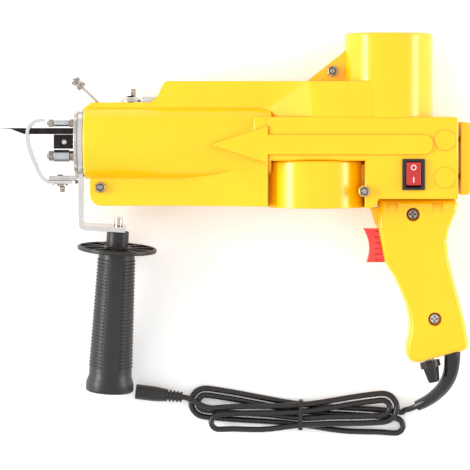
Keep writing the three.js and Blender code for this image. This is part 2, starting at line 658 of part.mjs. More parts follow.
/** Both casing halves still in one piece, hollow and with all seats and openings. */
function casingBody() {
  const gusset = roundedShape([
    [GUSSET_FOOT_X, CASE_TOP_Y - EDGE],
    [MOTOR_X, CASE_TOP_Y - EDGE],
    [MOTOR_X, GUSSET_TOP_Y],
    [GUSSET_TOP_X, GUSSET_TOP_Y],
  ]);
  const hollow = casingForm(WALL);
  const crankRoom = bar(CASE_HALF_WIDTH - WALL, [CRANK_X, BELT_Y, 0], [CRANK_X, DRIVE_Y, 0], 24);
  const hollows = join(hollow, crankRoom, beltTunnel(0));
  const web = plate(gusset, [-GUSSET_HALF_WIDTH, GUSSET_HALF_WIDTH]);
  const outer = join(casingForm(0), beltTunnel(WALL), cut(arrowForm(), hollows), cut(web, hollow));
  const discs = DISC_YS.map((y) => bar(DISC_RADIUS, [DISC_X, y, -BAND_HALF_WIDTH - DISC_HEIGHT],
    [DISC_X, y, BAND_HALF_WIDTH + DISC_HEIGHT], 20));
  let body = cut(join(outer, ...discs), hollows);

  const bosses = BOLT_SEATS.map(({ x, y, halfWidth }) => bar(BOSS_RADIUS, [x, y, WALL / 2 - halfWidth],
    [x, y, halfWidth - WALL / 2]));
  const bulkhead = bar(BARREL_RADIUS - WALL / 2, [BULKHEAD_X, DRIVE_Y, 0],
    [BULKHEAD_X + BULKHEAD, DRIVE_Y, 0], 24);
  const axleBoss = bar(AXLE_BOSS_RADIUS, [CRANK_X, BULGE_FLOOR_Y + WALL / 2, 0],
    [CRANK_X, AXLE_BOSS_TOP_Y, 0]);
  const shelfTop = MOTOR_BOTTOM_Y - SEAM;
  const shelf = common(casingForm(WALL / 2),
    bar(MOTOR_HOUSING_RADIUS, [MOTOR_X, shelfTop - MOTOR_SHELF, 0], [MOTOR_X, shelfTop, 0], 24));
  const collar = cut(
    bar(MOTOR_HOUSING_RADIUS - WALL / 2, [MOTOR_X, MOTOR_COLLAR_Y, 0],
      [MOTOR_X, MOTOR_COLLAR_Y + MOTOR_SHELF, 0], 24),
    bar(MOTOR_RADIUS + 2 * SEAM, [MOTOR_X, CASE_TOP_Y, 0], [MOTOR_X, MOTOR_HOUSING_TOP_Y, 0], 24),
  );
  const tongue = block([TONGUE_X - TONGUE_HALF_LENGTH, TONGUE_X + TONGUE_HALF_LENGTH],
    [TONGUE_BOTTOM_Y, BAND_BOTTOM_Y + WALL / 2], [-TONGUE_HALF_WIDTH, TONGUE_HALF_WIDTH]);
  body = join(body, ...bosses, bulkhead, axleBoss, shelf, collar, tongue);

  const boltHoles = BOLT_SEATS.map(({ x, y }) => bar(BOLT_RADIUS + SEAM, [x, y, -SIDE_REACH],
    [x, y, SIDE_REACH], 16));
  const frontWall = [BARREL_FRONT_X - OVERRUN, BARREL_FRONT_X + WALL + OVERRUN];
  const window = block(frontWall, windowHeights(), windowWidths());
  const pinHoles = [UPPER_PIN, LOWER_PIN].map(({ y, radius }) => bar(radius + SEAM,
    [frontWall[0], y, 0], [frontWall[1], y, 0], 16));
  const bushSeat = bar(BUSH_RADIUS + SEAM, [BUSH_FRONT_X, DRIVE_Y, 0],
    [BUSH_FRONT_X + BUSH_LENGTH, DRIVE_Y, 0], 20);
  const axleHole = bar(AXLE_RADIUS + SEAM, [CRANK_X, BULGE_FLOOR_Y + WALL, 0], [CRANK_X, DRIVE_Y, 0]);
  const shelfBore = bar(MOTOR_SHELF_BORE, [MOTOR_X, CASE_FLOOR_Y, 0],
    [MOTOR_X, MOTOR_BOTTOM_Y + OVERRUN, 0], 20);
  const switchHole = block(
    [SWITCH_X - SWITCH_BODY_HALF_WIDTH - SEAM, SWITCH_X + SWITCH_BODY_HALF_WIDTH + SEAM],
    [SWITCH_Y - SWITCH_BODY_HALF_HEIGHT - SEAM, SWITCH_Y + SWITCH_BODY_HALF_HEIGHT + SEAM],
    [BAND_HALF_WIDTH - WALL - OVERRUN, SIDE_REACH]);
  const coverHoles = DISC_YS.map((y) => bar(COVER_SCREW_RADIUS + SEAM, [REAR_X - COVER_SCREW_GRIP, y, 0],
    [REAR_X + OVERRUN, y, 0], 16));
  const tongueHole = bar(SCREW_RADIUS + SEAM, [TONGUE_X, UPPER_SCREW_Y, -SIDE_REACH],
    [TONGUE_X, UPPER_SCREW_Y, SIDE_REACH], 16);
  const cableHole = bar(TONGUE_HALF_WIDTH, [DISC_X - TONGUE_HALF_LENGTH / 2, BAND_BOTTOM_Y - OVERRUN, 0],
    [DISC_X - TONGUE_HALF_LENGTH / 2, BAND_BOTTOM_Y + WALL + OVERRUN, 0], 20);
  const plateSlot = block([SLOPE_FOOT_X - OVERRUN, ADJUSTER_PLATE_FRONT_X + ADJUSTER_PLATE_LENGTH + SEAM],
    [WEB_TOP_Y, CASE_TOP_Y], [-ADJUSTER_PLATE_HALF_WIDTH - SEAM, ADJUSTER_PLATE_HALF_WIDTH + SEAM]);
  const adjusterHole = bar(BOLT_RADIUS + SEAM, [ADJUSTER_X, WEB_TOP_Y - ADJUSTER_DEPTH - OVERRUN, 0],
    [ADJUSTER_X, WEB_TOP_Y + OVERRUN, 0], 16);
  const guideHole = bar(GUIDE_RADIUS + SEAM, guidePoint(-GUIDE_DEPTH - OVERRUN), guidePoint(OVERRUN), 12);
  return cut(body, ...boltHoles, window, ...pinHoles, bushSeat, axleHole, shelfBore, switchHole,
    ...coverHoles, tongueHole, cableHole, plateSlot, adjusterHole, guideHole);
}

/** Height limits of the window that the needle and its clamp pass through. */
function windowHeights() {
  return [CLAMP_BOTTOM_Y - WINDOW_MARGIN, needleTop() + RUNNING_GAP];
}

function windowWidths() {
  const halfWidth = CLAMP_HALF_WIDTH + 2 * WINDOW_MARGIN;
  return [-halfWidth, halfWidth];
}

function needleTop() {
  return CLAMP_TOP_Y + SEAM + NEEDLE_HEIGHT;
}

/** Everything on one side of the parting plane. */
function halfOf(solid, side) {
  const reach = 1e3 * SEAM;
  const limits = side > 0 ? [SEAM / 2, reach] : [-reach, -SEAM / 2];
  return common(solid, block([-reach, reach], [-reach, reach], limits));
}

function casing() {
  const body = casingBody();
  return [
    part('casing_left', halfOf(body, 1), YELLOW_PLASTIC),
    part('casing_right', halfOf(body, -1), YELLOW_PLASTIC),
  ];
}

function rearCover() {
  const front = REAR_X + COVER_GAP;
  const rear = front + COVER_THICKNESS;
  const outline = roundedShape([
    [front, COVER_BOTTOM_Y],
    [rear, COVER_BOTTOM_Y, COVER_CORNER],
    [rear, COVER_TOP_Y, COVER_CORNER],
    [front, COVER_TOP_Y],
  ]);
  const screwHoles = DISC_YS.map((y) => bar(COVER_SCREW_RADIUS + SEAM, [front - OVERRUN, y, 0],
    [rear + OVERRUN, y, 0], 16));
  const headSeats = DISC_YS.map((y) => bar(COVER_SCREW_HEAD_RADIUS + SEAM,
    [rear - COVER_SCREW_HEAD - SEAM, y, 0], [rear + OVERRUN, y, 0]));
  const screws = DISC_YS.map((y, i) => part(`rear_cover_screw_${['upper', 'lower'][i]}`, join(
    bar(COVER_SCREW_RADIUS, [REAR_X - COVER_SCREW_GRIP + SEAM, y, 0], [rear, y, 0], 16),
    bar(COVER_SPACER_RADIUS, [REAR_X + SEAM, y, 0], [front - SEAM, y, 0], 16),
    bar(COVER_SCREW_HEAD_RADIUS, [rear - COVER_SCREW_HEAD, y, 0], [rear, y, 0]),
  ), STEEL));
  const cover = cut(slab(outline, COVER_HALF_WIDTH, 0, { edge: COVER_EDGE }), ...screwHoles, ...headSeats);
  return [part('rear_cover', cover, YELLOW_PLASTIC), ...screws];
}

/** Bolts from the far side with nuts on the near side. */
function casingBolts() {
  return BOLT_SEATS.flatMap(({ name, x, y, halfWidth }) => {
    const seat = halfWidth + SEAM;
    const bolt = join(
      bar(BOLT_RADIUS, [x, y, -seat - BOLT_HEAD / 2], [x, y, seat + NUT_THICKNESS + BOLT_TAIL], 16),
      hexagon(NUT_FLATS, [x, y, -seat - BOLT_HEAD], [x, y, -seat]),
    );
    const nut = cut(hexagon(NUT_FLATS, [x, y, seat], [x, y, seat + NUT_THICKNESS]),
      bar(BOLT_RADIUS + SEAM, [x, y, 0], [x, y, SIDE_REACH], 16));
    return [part(`casing_bolt_${name}`, bolt, STEEL), part(`casing_nut_${name}`, nut, STEEL)];
  });
}

// Pistol grip

/** The grip's side outline, clockwise from its upper front corner; its hollow has plainer corners. */
function gripOutline(inset) {
  const shape = new THREE.Shape();
  const top = BAND_BOTTOM_Y - SEAM;
  shape.moveTo(GRIP_FRONT_X, top);
  if (inset > 0) {
    shape.lineTo(GRIP_WAIST_X, top);
    shape.lineTo(GRIP_WAIST_X, GRIP_WAIST_Y);
  } else {
    shape.lineTo(GRIP_REAR_X, top);
    shape.bezierCurveTo(GRIP_REAR_X + 2 * GRIP_BACK_BULGE, top - 2 * GRIP_BACK_BULGE,
      GRIP_WAIST_X, NECK_BOTTOM_Y / 2, GRIP_WAIST_X, GRIP_WAIST_Y);
  }
  shape.bezierCurveTo(GRIP_WAIST_X, GRIP_WAIST_Y * 2, GRIP_HEEL_X - GRIP_BACK_BULGE, GRIP_HEEL_Y * 0.7,
    GRIP_HEEL_X, GRIP_HEEL_Y);
  if (inset > 0) {
    shape.lineTo(GRIP_HEEL_X, GRIP_SOLE_REAR_Y);
    shape.lineTo(GRIP_FOOT_X, GRIP_SOLE_FRONT_Y);
  } else {
    shape.quadraticCurveTo(GRIP_HEEL_X, GRIP_SOLE_REAR_Y, GRIP_HEEL_X - GRIP_CORNER, GRIP_SOLE_REAR_Y);
    shape.lineTo(GRIP_FOOT_X + GRIP_CORNER, GRIP_SOLE_FRONT_Y);
    shape.quadraticCurveTo(GRIP_FOOT_X, GRIP_SOLE_FRONT_Y, GRIP_FOOT_X, GRIP_FOOT_Y);
  }
  shape.bezierCurveTo(GRIP_FOOT_X, GRIP_FOOT_Y * 0.92, GRIP_FOOT_X + GRIP_EDGE, GRIP_FOOT_Y * 0.88,
    TRIGGER_REAR_X + 2.6 * GRIP_EDGE, GRIP_FOOT_Y * 0.68);
  shape.quadraticCurveTo(TRIGGER_REAR_X + 1.6 * GRIP_EDGE, TRIGGER_BOTTOM_Y * 1.4,
    TRIGGER_REAR_X, TRIGGER_BOTTOM_Y);
  shape.lineTo(GRIP_FRONT_X, NECK_BOTTOM_Y);
  return shape;
}

function gripForm(inset) {
  const rounding = inset > 0
    ? { edge: GRIP_WALL / 2, segments: 1 }
    : { edge: GRIP_EDGE, edgeWidth: GRIP_EDGE_WIDTH, segments: 2 };
  return slab(gripOutline(inset), GRIP_HALF_WIDTH, inset, { ...rounding, curveSegments: 5 });
}

/** The point of the sole on the dial's axis, and a point further along the axis. */
function dialPoint(distance) {
  const soleShare = (DIAL_X - GRIP_FOOT_X) / (GRIP_HEEL_X - GRIP_FOOT_X);
  const soleY = THREE.MathUtils.lerp(GRIP_SOLE_FRONT_Y, GRIP_SOLE_REAR_Y, soleShare);
  return [DIAL_X + distance * Math.sin(DIAL_TILT), soleY - distance * Math.cos(DIAL_TILT), 0];
}

function gripBody() {
  const neck = roundedShape([
    [GRIP_FRONT_X - NECK_DEPTH, NECK_TOP_Y],
    [GRIP_FRONT_X + GRIP_WALL, NECK_TOP_Y],
    [GRIP_FRONT_X + GRIP_WALL, NECK_BOTTOM_Y],
    [GRIP_FRONT_X - NECK_DEPTH / 4, NECK_BOTTOM_Y + OVERRUN, OVERRUN],
  ]);
  const outer = join(gripForm(0), plate(neck, [-NECK_HALF_WIDTH, NECK_HALF_WIDTH]));
  let body = cut(outer, gripForm(GRIP_WALL));
  const seats = GRIP_SCREWS.map(({ x, y, floor }) => join(
    bar(COUNTERBORE_RADIUS + GRIP_WALL, [x, y, floor], [x, y, GRIP_HALF_WIDTH - GRIP_WALL / 2]),
    bar(COUNTERBORE_RADIUS, [x, y, GRIP_WALL / 2 - GRIP_HALF_WIDTH], [x, y, -floor]),
  ));
  const { middleY, front } = triggerSwitchPlace();
  const restInner = TRIGGER_SWITCH_HALF_WIDTH + SEAM;
  const restOuter = GRIP_HALF_WIDTH - GRIP_WALL / 2;
  const switchRests = [[restInner, restOuter], [-restOuter, -restInner]].map((sides) => block(
    [front + TRIGGER_SWITCH_LENGTH / 3, front + TRIGGER_SWITCH_LENGTH / 2],
    [middleY - TRIGGER_SWITCH_HALF_HEIGHT, middleY + TRIGGER_SWITCH_HALF_HEIGHT], sides));
  body = join(body, ...seats, ...switchRests);
  const screwHoles = GRIP_SCREWS.map(({ x, y }) => bar(SCREW_RADIUS + SEAM, [x, y, WALL - GRIP_HALF_WIDTH],
    [x, y, GRIP_HALF_WIDTH], 16));
  const counterbores = GRIP_SCREWS.map(({ x, y }) => bar(COUNTERBORE_RADIUS, [x, y, COUNTERBORE_FLOOR_Z],
    [x, y, GRIP_HALF_WIDTH + OVERRUN], 20));
  const tongueHole = block(
    [TONGUE_X - TONGUE_HALF_LENGTH - SEAM, TONGUE_X + TONGUE_HALF_LENGTH + SEAM],
    [BAND_BOTTOM_Y - GRIP_WALL - EDGE, BAND_BOTTOM_Y + OVERRUN],
    [-TONGUE_HALF_WIDTH - SEAM, TONGUE_HALF_WIDTH + SEAM]);
  const cableHole = bar(TONGUE_HALF_WIDTH,
    [DISC_X - TONGUE_HALF_LENGTH / 2, BAND_BOTTOM_Y - GRIP_WALL - EDGE, 0],
    [DISC_X - TONGUE_HALF_LENGTH / 2, BAND_BOTTOM_Y, 0], 20);
  const triggerHole = block([GRIP_FRONT_X - NECK_DEPTH, TRIGGER_REAR_X + TRIGGER_TRAVEL + RUNNING_GAP],
    [TRIGGER_BOTTOM_Y - RUNNING_GAP, TRIGGER_TOP_Y + RUNNING_GAP],
    [-TRIGGER_HALF_WIDTH - RUNNING_GAP, TRIGGER_HALF_WIDTH + RUNNING_GAP]);
  const dialHole = bar(DIAL_NECK_RADIUS + SEAM, dialPoint(-2 * GRIP_WALL), dialPoint(2 * GRIP_WALL), 20);
  const reliefHole = bar(RELIEF_TOP_RADIUS + SEAM, reliefPoint(-RELIEF_ROOT - OVERRUN),
    reliefPoint(GRIP_WALL), 24);
  const pockets = POCKET_XS.flatMap((x) => [1, -1].map((side) => plate(roundedShape([
    [side * (GRIP_HALF_WIDTH - POCKET_DEPTH), POCKET_TOP_Y],
    [side * (GRIP_HALF_WIDTH + OVERRUN), POCKET_TOP_Y],
    [side * (GRIP_HALF_WIDTH + OVERRUN), POCKET_BOTTOM_Y],
  ]), [0, POCKET_WIDTH]).rotateY(-Math.PI / 2).translate(x + POCKET_WIDTH / 2, 0, 0)));
  return cut(body, ...screwHoles, ...counterbores, tongueHole, cableHole, triggerHole, dialHole, reliefHole,
    ...pockets);
}

function grip() {
  const body = gripBody();
  const screws = GRIP_SCREWS.map(
    ({ name, x, y }) => part(`grip_screw_${name}`, gripScrew(x, y), BLACK_STEEL));
  return [
    part('grip_left', halfOf(body, 1), YELLOW_PLASTIC),
    part('grip_right', halfOf(body, -1), YELLOW_PLASTIC),
    ...screws,
  ];
}

/** A pan-head screw with a cross recess. */
function gripScrew(x, y) {
  const seat = COUNTERBORE_FLOOR_Z + SEAM;
  const top = seat + SCREW_HEAD;
  const recessHalf = SCREW_RADIUS / 3;
  const recessReach = SCREW_HEAD_RADIUS * 0.6;
  const recessBottom = top - SCREW_HEAD / 2;
  return cut(join(
    bar(SCREW_RADIUS, [x, y, WALL + SEAM - GRIP_HALF_WIDTH], [x, y, seat + SEAM], 16),
    bar(SCREW_HEAD_RADIUS, [x, y, seat], [x, y, top], 24, SCREW_HEAD_RADIUS * 0.8),
  ),
  block([x - recessHalf, x + recessHalf], [y - recessReach, y + recessReach], [recessBottom, top + OVERRUN]),
  block([x - recessReach, x + recessReach], [y - recessHalf, y + recessHalf], [recessBottom, top + OVERRUN]));
}

// Needle drive

function crankWheel() {
  const top = BELT_Y + BELT_WIDTH;
  const discTop = top + CRANK_DISC;
  const flangeRadius = CRANK_PULLEY_RADIUS + PULLEY_FLANGE;
  const wheel = turned([
    [0, BELT_Y - PULLEY_FLANGE],
    [flangeRadius, BELT_Y - PULLEY_FLANGE],
    [flangeRadius, BELT_Y],
    [CRANK_PULLEY_RADIUS, BELT_Y],
    [CRANK_PULLEY_RADIUS, top],
    [CRANK_DISC_RADIUS, top],
    [CRANK_DISC_RADIUS, discTop],
    [0, discTop],
  ], 24).translate(CRANK_X, 0, 0);
  const pin = bar(CRANK_PIN_RADIUS, [CRANK_X, top, CRANK_THROW],
    [CRANK_X, ROD_BOTTOM_Y - RUNNING_GAP, CRANK_THROW], 20);
  return cut(join(wheel, pin),
    bar(AXLE_RADIUS + SEAM, [CRANK_X, BULGE_FLOOR_Y, 0], [CRANK_X, discTop + OVERRUN, 0]));
}

function crankAxle() {
  const wheelBottom = BELT_Y - PULLEY_FLANGE - RUNNING_GAP;
  const capBottom = BELT_Y + BELT_WIDTH + CRANK_DISC + RUNNING_GAP;
  const capTop = capBottom + AXLE_CAP;
  return turned([
    [0, BULGE_FLOOR_Y + WALL + SEAM],
    [AXLE_RADIUS, BULGE_FLOOR_Y + WALL + SEAM],
    [AXLE_RADIUS, AXLE_BOSS_TOP_Y + SEAM],
    [AXLE_COLLAR_RADIUS, AXLE_BOSS_TOP_Y + SEAM],
    [AXLE_COLLAR_RADIUS, wheelBottom],
    [AXLE_RADIUS, wheelBottom],
    [AXLE_RADIUS, capBottom],
    [AXLE_CAP_RADIUS, capBottom],
    [AXLE_CAP_RADIUS, capTop],
    [0, capTop],
  ], 16).translate(CRANK_X, 0, 0);
}

function motorPulley() {
  const top = BELT_Y + BELT_WIDTH;
  const flangeRadius = MOTOR_PULLEY_RADIUS + PULLEY_FLANGE;
  const shaftTop = MOTOR_BOTTOM_Y + MOTOR_NOSE;
  return turned([
    [0, BELT_Y - PULLEY_FLANGE],
    [flangeRadius, BELT_Y - PULLEY_FLANGE],
    [flangeRadius, BELT_Y],
    [MOTOR_PULLEY_RADIUS, BELT_Y],
    [MOTOR_PULLEY_RADIUS, top],
    [MOTOR_SHAFT_RADIUS, top],
    [MOTOR_SHAFT_RADIUS, shaftTop],
    [0, shaftTop],
  ], 16).translate(MOTOR_X, 0, 0);
}

function motor() {
  const top = MOTOR_BOTTOM_Y + MOTOR_LENGTH;
  const can = turned([
    [0, MOTOR_BOTTOM_Y - MOTOR_NOSE],
    [MOTOR_NOSE_RADIUS, MOTOR_BOTTOM_Y - MOTOR_NOSE],
    [MOTOR_NOSE_RADIUS, MOTOR_BOTTOM_Y],
    [MOTOR_RADIUS, MOTOR_BOTTOM_Y],
    [MOTOR_RADIUS, top],
    [0, top],
  ], 24).translate(MOTOR_X, 0, 0);
  return cut(can, bar(MOTOR_SHAFT_RADIUS + SEAM, [MOTOR_X, MOTOR_BOTTOM_Y - MOTOR_NOSE - OVERRUN, 0],
    [MOTOR_X, MOTOR_BOTTOM_Y + MOTOR_NOSE + SEAM, 0], 16));
}

/** The outline of a belt round both pulleys at a radius step outside their rims. */
function beltOutline(step) {
  const large = CRANK_PULLEY_RADIUS + step;
  const small = MOTOR_PULLEY_RADIUS + step;
  const lean = Math.asin((large - small) / (MOTOR_X - CRANK_X));
  const wrap = Math.PI / 2 - lean;
  const path = new THREE.Shape();
  path.absarc(CRANK_X, 0, large, wrap, 2 * Math.PI - wrap, false);
  path.absarc(MOTOR_X, 0, small, -wrap, wrap, false);
  path.closePath();
  return path;
}

function timingBelt() {
  const shape = beltOutline(SEAM + BELT_THICKNESS);
  shape.holes.push(beltOutline(SEAM));
  return plate(shape, [BELT_Y + SEAM, BELT_Y + BELT_WIDTH - SEAM], 10).rotateX(-Math.PI / 2);
}

function connectingRod() {
  const rodTop = ROD_BOTTOM_Y + ROD_THICKNESS;
  const length = Math.hypot(CRANK_X - WRIST_X, CRANK_THROW);
  const eyes = [0, length].map((x) => bar(ROD_EYE_RADIUS, [x, ROD_BOTTOM_Y, 0], [x, rodTop, 0]));
  const bores = [0, length].map((x) => bar(WRIST_RADIUS + SEAM, [x, ROD_BOTTOM_Y - OVERRUN, 0],
    [x, rodTop + OVERRUN, 0], 20));
  const beam = block([0, length], [ROD_BOTTOM_Y, rodTop], [-ROD_HALF_WIDTH, ROD_HALF_WIDTH]);
  const rod = new THREE.Mesh(geometryOf(cut(join(...eyes, beam), ...bores)), STEEL);
  rod.name = 'connecting_rod';
  rod.position.x = WRIST_X;
  rod.rotation.y = -Math.atan2(CRANK_THROW, CRANK_X - WRIST_X);
  return rod;
}

function needleCarriage() {
  const rodTop = ROD_BOTTOM_Y + ROD_THICKNESS;
  const front = CARRIAGE_REAR_X - CARRIAGE_LENGTH;
  return join(
    block([front, CARRIAGE_REAR_X], [rodTop + RUNNING_GAP, CARRIAGE_TOP_Y],
      [-CARRIAGE_HALF_WIDTH, CARRIAGE_HALF_WIDTH]),
    bar(WRIST_RADIUS, [WRIST_X, ROD_BOTTOM_Y - RUNNING_GAP, 0], [WRIST_X, CARRIAGE_TOP_Y - OVERRUN, 0], 20),
    bar(PUSH_ROD_RADIUS, [CLAMP_REAR_X + SEAM, DRIVE_Y, 0], [front + OVERRUN, DRIVE_Y, 0]),
  );
}

function slideBush() {
  const rear = BUSH_FRONT_X + BUSH_LENGTH;
  return cut(join(
    bar(BUSH_RADIUS, [BUSH_FRONT_X, DRIVE_Y, 0], [rear, DRIVE_Y, 0], 20),
    bar(BUSH_RADIUS + WALL, [BULKHEAD_X + BULKHEAD + SEAM, DRIVE_Y, 0], [rear, DRIVE_Y, 0], 20),
  ),
  bar(PUSH_ROD_RADIUS + SEAM, [BUSH_FRONT_X - OVERRUN, DRIVE_Y, 0], [rear + OVERRUN, DRIVE_Y, 0]));
}

function drive() {
  return [
    part('crank_wheel', crankWheel(), ALUMINIUM),
    part('crank_axle', crankAxle(), STEEL),
    part('motor_pulley', motorPulley(), ALUMINIUM),
    part('motor', motor(), MOTOR_STEEL),
    part('timing_belt', timingBelt(), BLACK_RUBBER),
    connectingRod(),
    part('needle_carriage', needleCarriage(), STEEL),
    part('slide_bush', slideBush(), BRONZE),
  ];
}

// Front end

const BRACKET_FRONT_X = BARREL_FRONT_X - SEAM - BRACKET_THICKNESS;
const FLANGE_FRONT_X = BRACKET_FRONT_X - SEAM - FLANGE_THICKNESS;

function frontFlange() {
  const rear = FLANGE_FRONT_X + FLANGE_THICKNESS;
  const tongueBottom = TONGUE_PLATE_TOP_Y - TONGUE_PLATE;
  const tongue = roundedShape([
    [TONGUE_PLATE_FRONT_X, tongueBottom],
    [rear, tongueBottom, TONGUE_PLATE],
    [rear, DRIVE_Y - FLANGE_RADIUS / 2],
    [FLANGE_FRONT_X, DRIVE_Y - FLANGE_RADIUS / 2],
    [FLANGE_FRONT_X, TONGUE_PLATE_TOP_Y],
    [TONGUE_PLATE_FRONT_X, TONGUE_PLATE_TOP_Y],
  ]);
  const through = [FLANGE_FRONT_X - OVERRUN, rear + OVERRUN];
  return cut(join(
    bar(FLANGE_RADIUS, [FLANGE_FRONT_X, DRIVE_Y, 0], [rear, DRIVE_Y, 0], 40),
    plate(tongue, [-TONGUE_PLATE_HALF_WIDTH, TONGUE_PLATE_HALF_WIDTH]),
  ),
  block(through, windowHeights(), windowWidths()),
  ...[UPPER_PIN, LOWER_PIN].map(({ y, radius }) => bar(radius + SEAM, [through[0], y, 0],
    [through[1], y, 0], 16)),
  bar(BOLT_RADIUS + SEAM, [FOOT_BOLT_X, tongueBottom - OVERRUN, 0],
    [FOOT_BOLT_X, TONGUE_PLATE_TOP_Y + OVERRUN, 0], 16));
}

/** A threaded pin through the flange into the barrel, with its spacer sleeve and a nut at both ends. */
function frontPin({ name, y, radius, sleeve, flats }) {
  const seat = FLANGE_FRONT_X - SEAM;
  const pin = join(
    bar(radius, [PIN_FRONT_X, y, 0], [BARREL_FRONT_X + WALL, y, 0], 16),
    bar(sleeve, [SLEEVE_FRONT_X, y, 0], [seat - PIN_NUT - SEAM, y, 0]),
  );
  const nuts = [
    { place: 'front', x0: SLEEVE_FRONT_X - SEAM - PIN_NUT, x1: SLEEVE_FRONT_X - SEAM },
    { place: 'rear', x0: seat - PIN_NUT, x1: seat },
  ].map(({ place, x0, x1 }) => part(`${name}_pin_${place}_nut`, cut(hexagon(flats, [x0, y, 0], [x1, y, 0]),
    bar(radius + SEAM, [x0 - OVERRUN, y, 0], [x1 + OVERRUN, y, 0], 16)), STEEL));
  return [part(`${name}_pin`, pin, ALUMINIUM), ...nuts];
}

function needleClamp() {
  return cut(
    block([CLAMP_FRONT_X, CLAMP_REAR_X], [CLAMP_BOTTOM_Y, CLAMP_TOP_Y],
      [-CLAMP_HALF_WIDTH, CLAMP_HALF_WIDTH]),
    bar(CLAMP_SCREW_RADIUS + SEAM, [CLAMP_SCREW_X, DRIVE_Y, 0],
      [CLAMP_SCREW_X, DRIVE_Y, CLAMP_HALF_WIDTH + OVERRUN], 12));
}

function clampScrew() {
  const seat = CLAMP_HALF_WIDTH + SEAM;
  return join(
    bar(CLAMP_SCREW_RADIUS, [CLAMP_SCREW_X, DRIVE_Y, SEAM], [CLAMP_SCREW_X, DRIVE_Y, seat + SEAM], 12),
    bar(CLAMP_SCREW_HEAD_RADIUS, [CLAMP_SCREW_X, DRIVE_Y, seat],
      [CLAMP_SCREW_X, DRIVE_Y, seat + CLAMP_SCREW_HEAD], 20),
  );
}

/** A flat needle with a hair-thin point, a slanting blade and a groove for the yarn. */
function needle() {
  const top = needleTop();
  const bottom = top - NEEDLE_HEIGHT;
  const shape = roundedShape([
    [NEEDLE_TIP_X, top],
    [NEEDLE_TIP_X, top - NEEDLE_POINT_HEIGHT / 2],
    [NEEDLE_POINT_X, top - NEEDLE_POINT_HEIGHT],
    [NEEDLE_BLADE_X, bottom],
    [NEEDLE_REAR_X, bottom],
    [NEEDLE_REAR_X, top],
  ]);
  return cut(plate(shape, [-NEEDLE_HALF_WIDTH, NEEDLE_HALF_WIDTH]),
    block([NEEDLE_BLADE_X, CLAMP_FRONT_X], [bottom - OVERRUN, bottom + NEEDLE_GROOVE_DEPTH],
      [-NEEDLE_GROOVE_HALF_WIDTH, NEEDLE_GROOVE_HALF_WIDTH]),
    pointTaper(1), pointTaper(-1));
}

/** A wedge that thins one side of the needle towards its point. */
function pointTaper(side) {
  const plan = roundedShape([
    [NEEDLE_TIP_X - OVERRUN, side * NEEDLE_POINT_HEIGHT / 2],
    [NEEDLE_BLADE_X, side * NEEDLE_HALF_WIDTH],
    [NEEDLE_BLADE_X, side * (NEEDLE_HALF_WIDTH + OVERRUN)],
    [NEEDLE_TIP_X - OVERRUN, side * (NEEDLE_HALF_WIDTH + OVERRUN)],
  ]);
  return plate(plan, [-needleTop() - OVERRUN, 0]).rotateX(Math.PI / 2);
}

/** The middle line of the presser foot from its seat round the needle to its upper end. */
function footLine() {
  const seatY = TONGUE_PLATE_TOP_Y - TONGUE_PLATE - SEAM - FOOT_THICKNESS / 2;
  const rise = FOOT_TOP_Y - seatY;
  return new THREE.CatmullRomCurve3([
    [TONGUE_PLATE_FRONT_X, 0],
    [TONGUE_PLATE_FRONT_X + (FOOT_FRONT_X - TONGUE_PLATE_FRONT_X) * 0.3, 0.07],
    [TONGUE_PLATE_FRONT_X + (FOOT_FRONT_X - TONGUE_PLATE_FRONT_X) * 0.56, 0.23],
    [TONGUE_PLATE_FRONT_X + (FOOT_FRONT_X - TONGUE_PLATE_FRONT_X) * 0.84, 0.45],
    [FOOT_FRONT_X, 0.65],
    [FOOT_FRONT_X, 0.84],
    [FOOT_FRONT_X + (FOOT_TOP_X - FOOT_FRONT_X) * 0.25, 0.95],
    [FOOT_FRONT_X + (FOOT_TOP_X - FOOT_FRONT_X) * 0.7, 1],
    [FOOT_TOP_X, 1],
  ].map(([x, share]) => new THREE.Vector3(x, seatY + share * rise, 0)));
}

function presserFoot() {
  const seatTop = TONGUE_PLATE_TOP_Y - TONGUE_PLATE - SEAM;
  const half = FOOT_THICKNESS / 2;
  const line = footLine();
  const steps = 18;
  const sides = [1, -1].map((side) => Array.from({ length: steps + 1 }, (_, i) => {
    const point = line.getPointAt(i / steps);
    const tangent = line.getTangentAt(i / steps);
    return new THREE.Vector2(point.x - side * half * tangent.y, point.y + side * half * tangent.x);
  }));
  const strap = plate(new THREE.Shape([...sides[0], ...sides[1].reverse()]),
    [-FOOT_HALF_WIDTH, FOOT_HALF_WIDTH]);
  const seat = block([TONGUE_PLATE_FRONT_X - half, FOOT_REAR_X - FOOT_HALF_WIDTH],
    [seatTop - FOOT_THICKNESS, seatTop],
    [-FOOT_HALF_WIDTH, FOOT_HALF_WIDTH]);
  const seatEnd = bar(FOOT_HALF_WIDTH, [FOOT_REAR_X - FOOT_HALF_WIDTH, seatTop - FOOT_THICKNESS, 0],
    [FOOT_REAR_X - FOOT_HALF_WIDTH, seatTop, 0], 32);
  const slotHalf = BOLT_RADIUS + SEAM;
  const slotCut = (x) => bar(slotHalf, [x, seatTop - FOOT_THICKNESS - OVERRUN, 0],
    [x, seatTop + OVERRUN, 0], 20);
  const slotBlock = block([FOOT_BOLT_X, FOOT_BOLT_X + FOOT_TRAVEL],
    [seatTop - FOOT_THICKNESS - OVERRUN, seatTop + OVERRUN], [-slotHalf, slotHalf]);
  const needleSlot = block([FOOT_FRONT_X - FOOT_THICKNESS, TONGUE_PLATE_FRONT_X],
    [FOOT_WINDOW_BOTTOM_Y, FOOT_WINDOW_TOP_Y], [-FOOT_SLOT_HALF_WIDTH, FOOT_SLOT_HALF_WIDTH]);
  return cut(join(strap, seat, seatEnd), slotCut(FOOT_BOLT_X), slotCut(FOOT_BOLT_X + FOOT_TRAVEL),
    slotBlock, needleSlot);
}

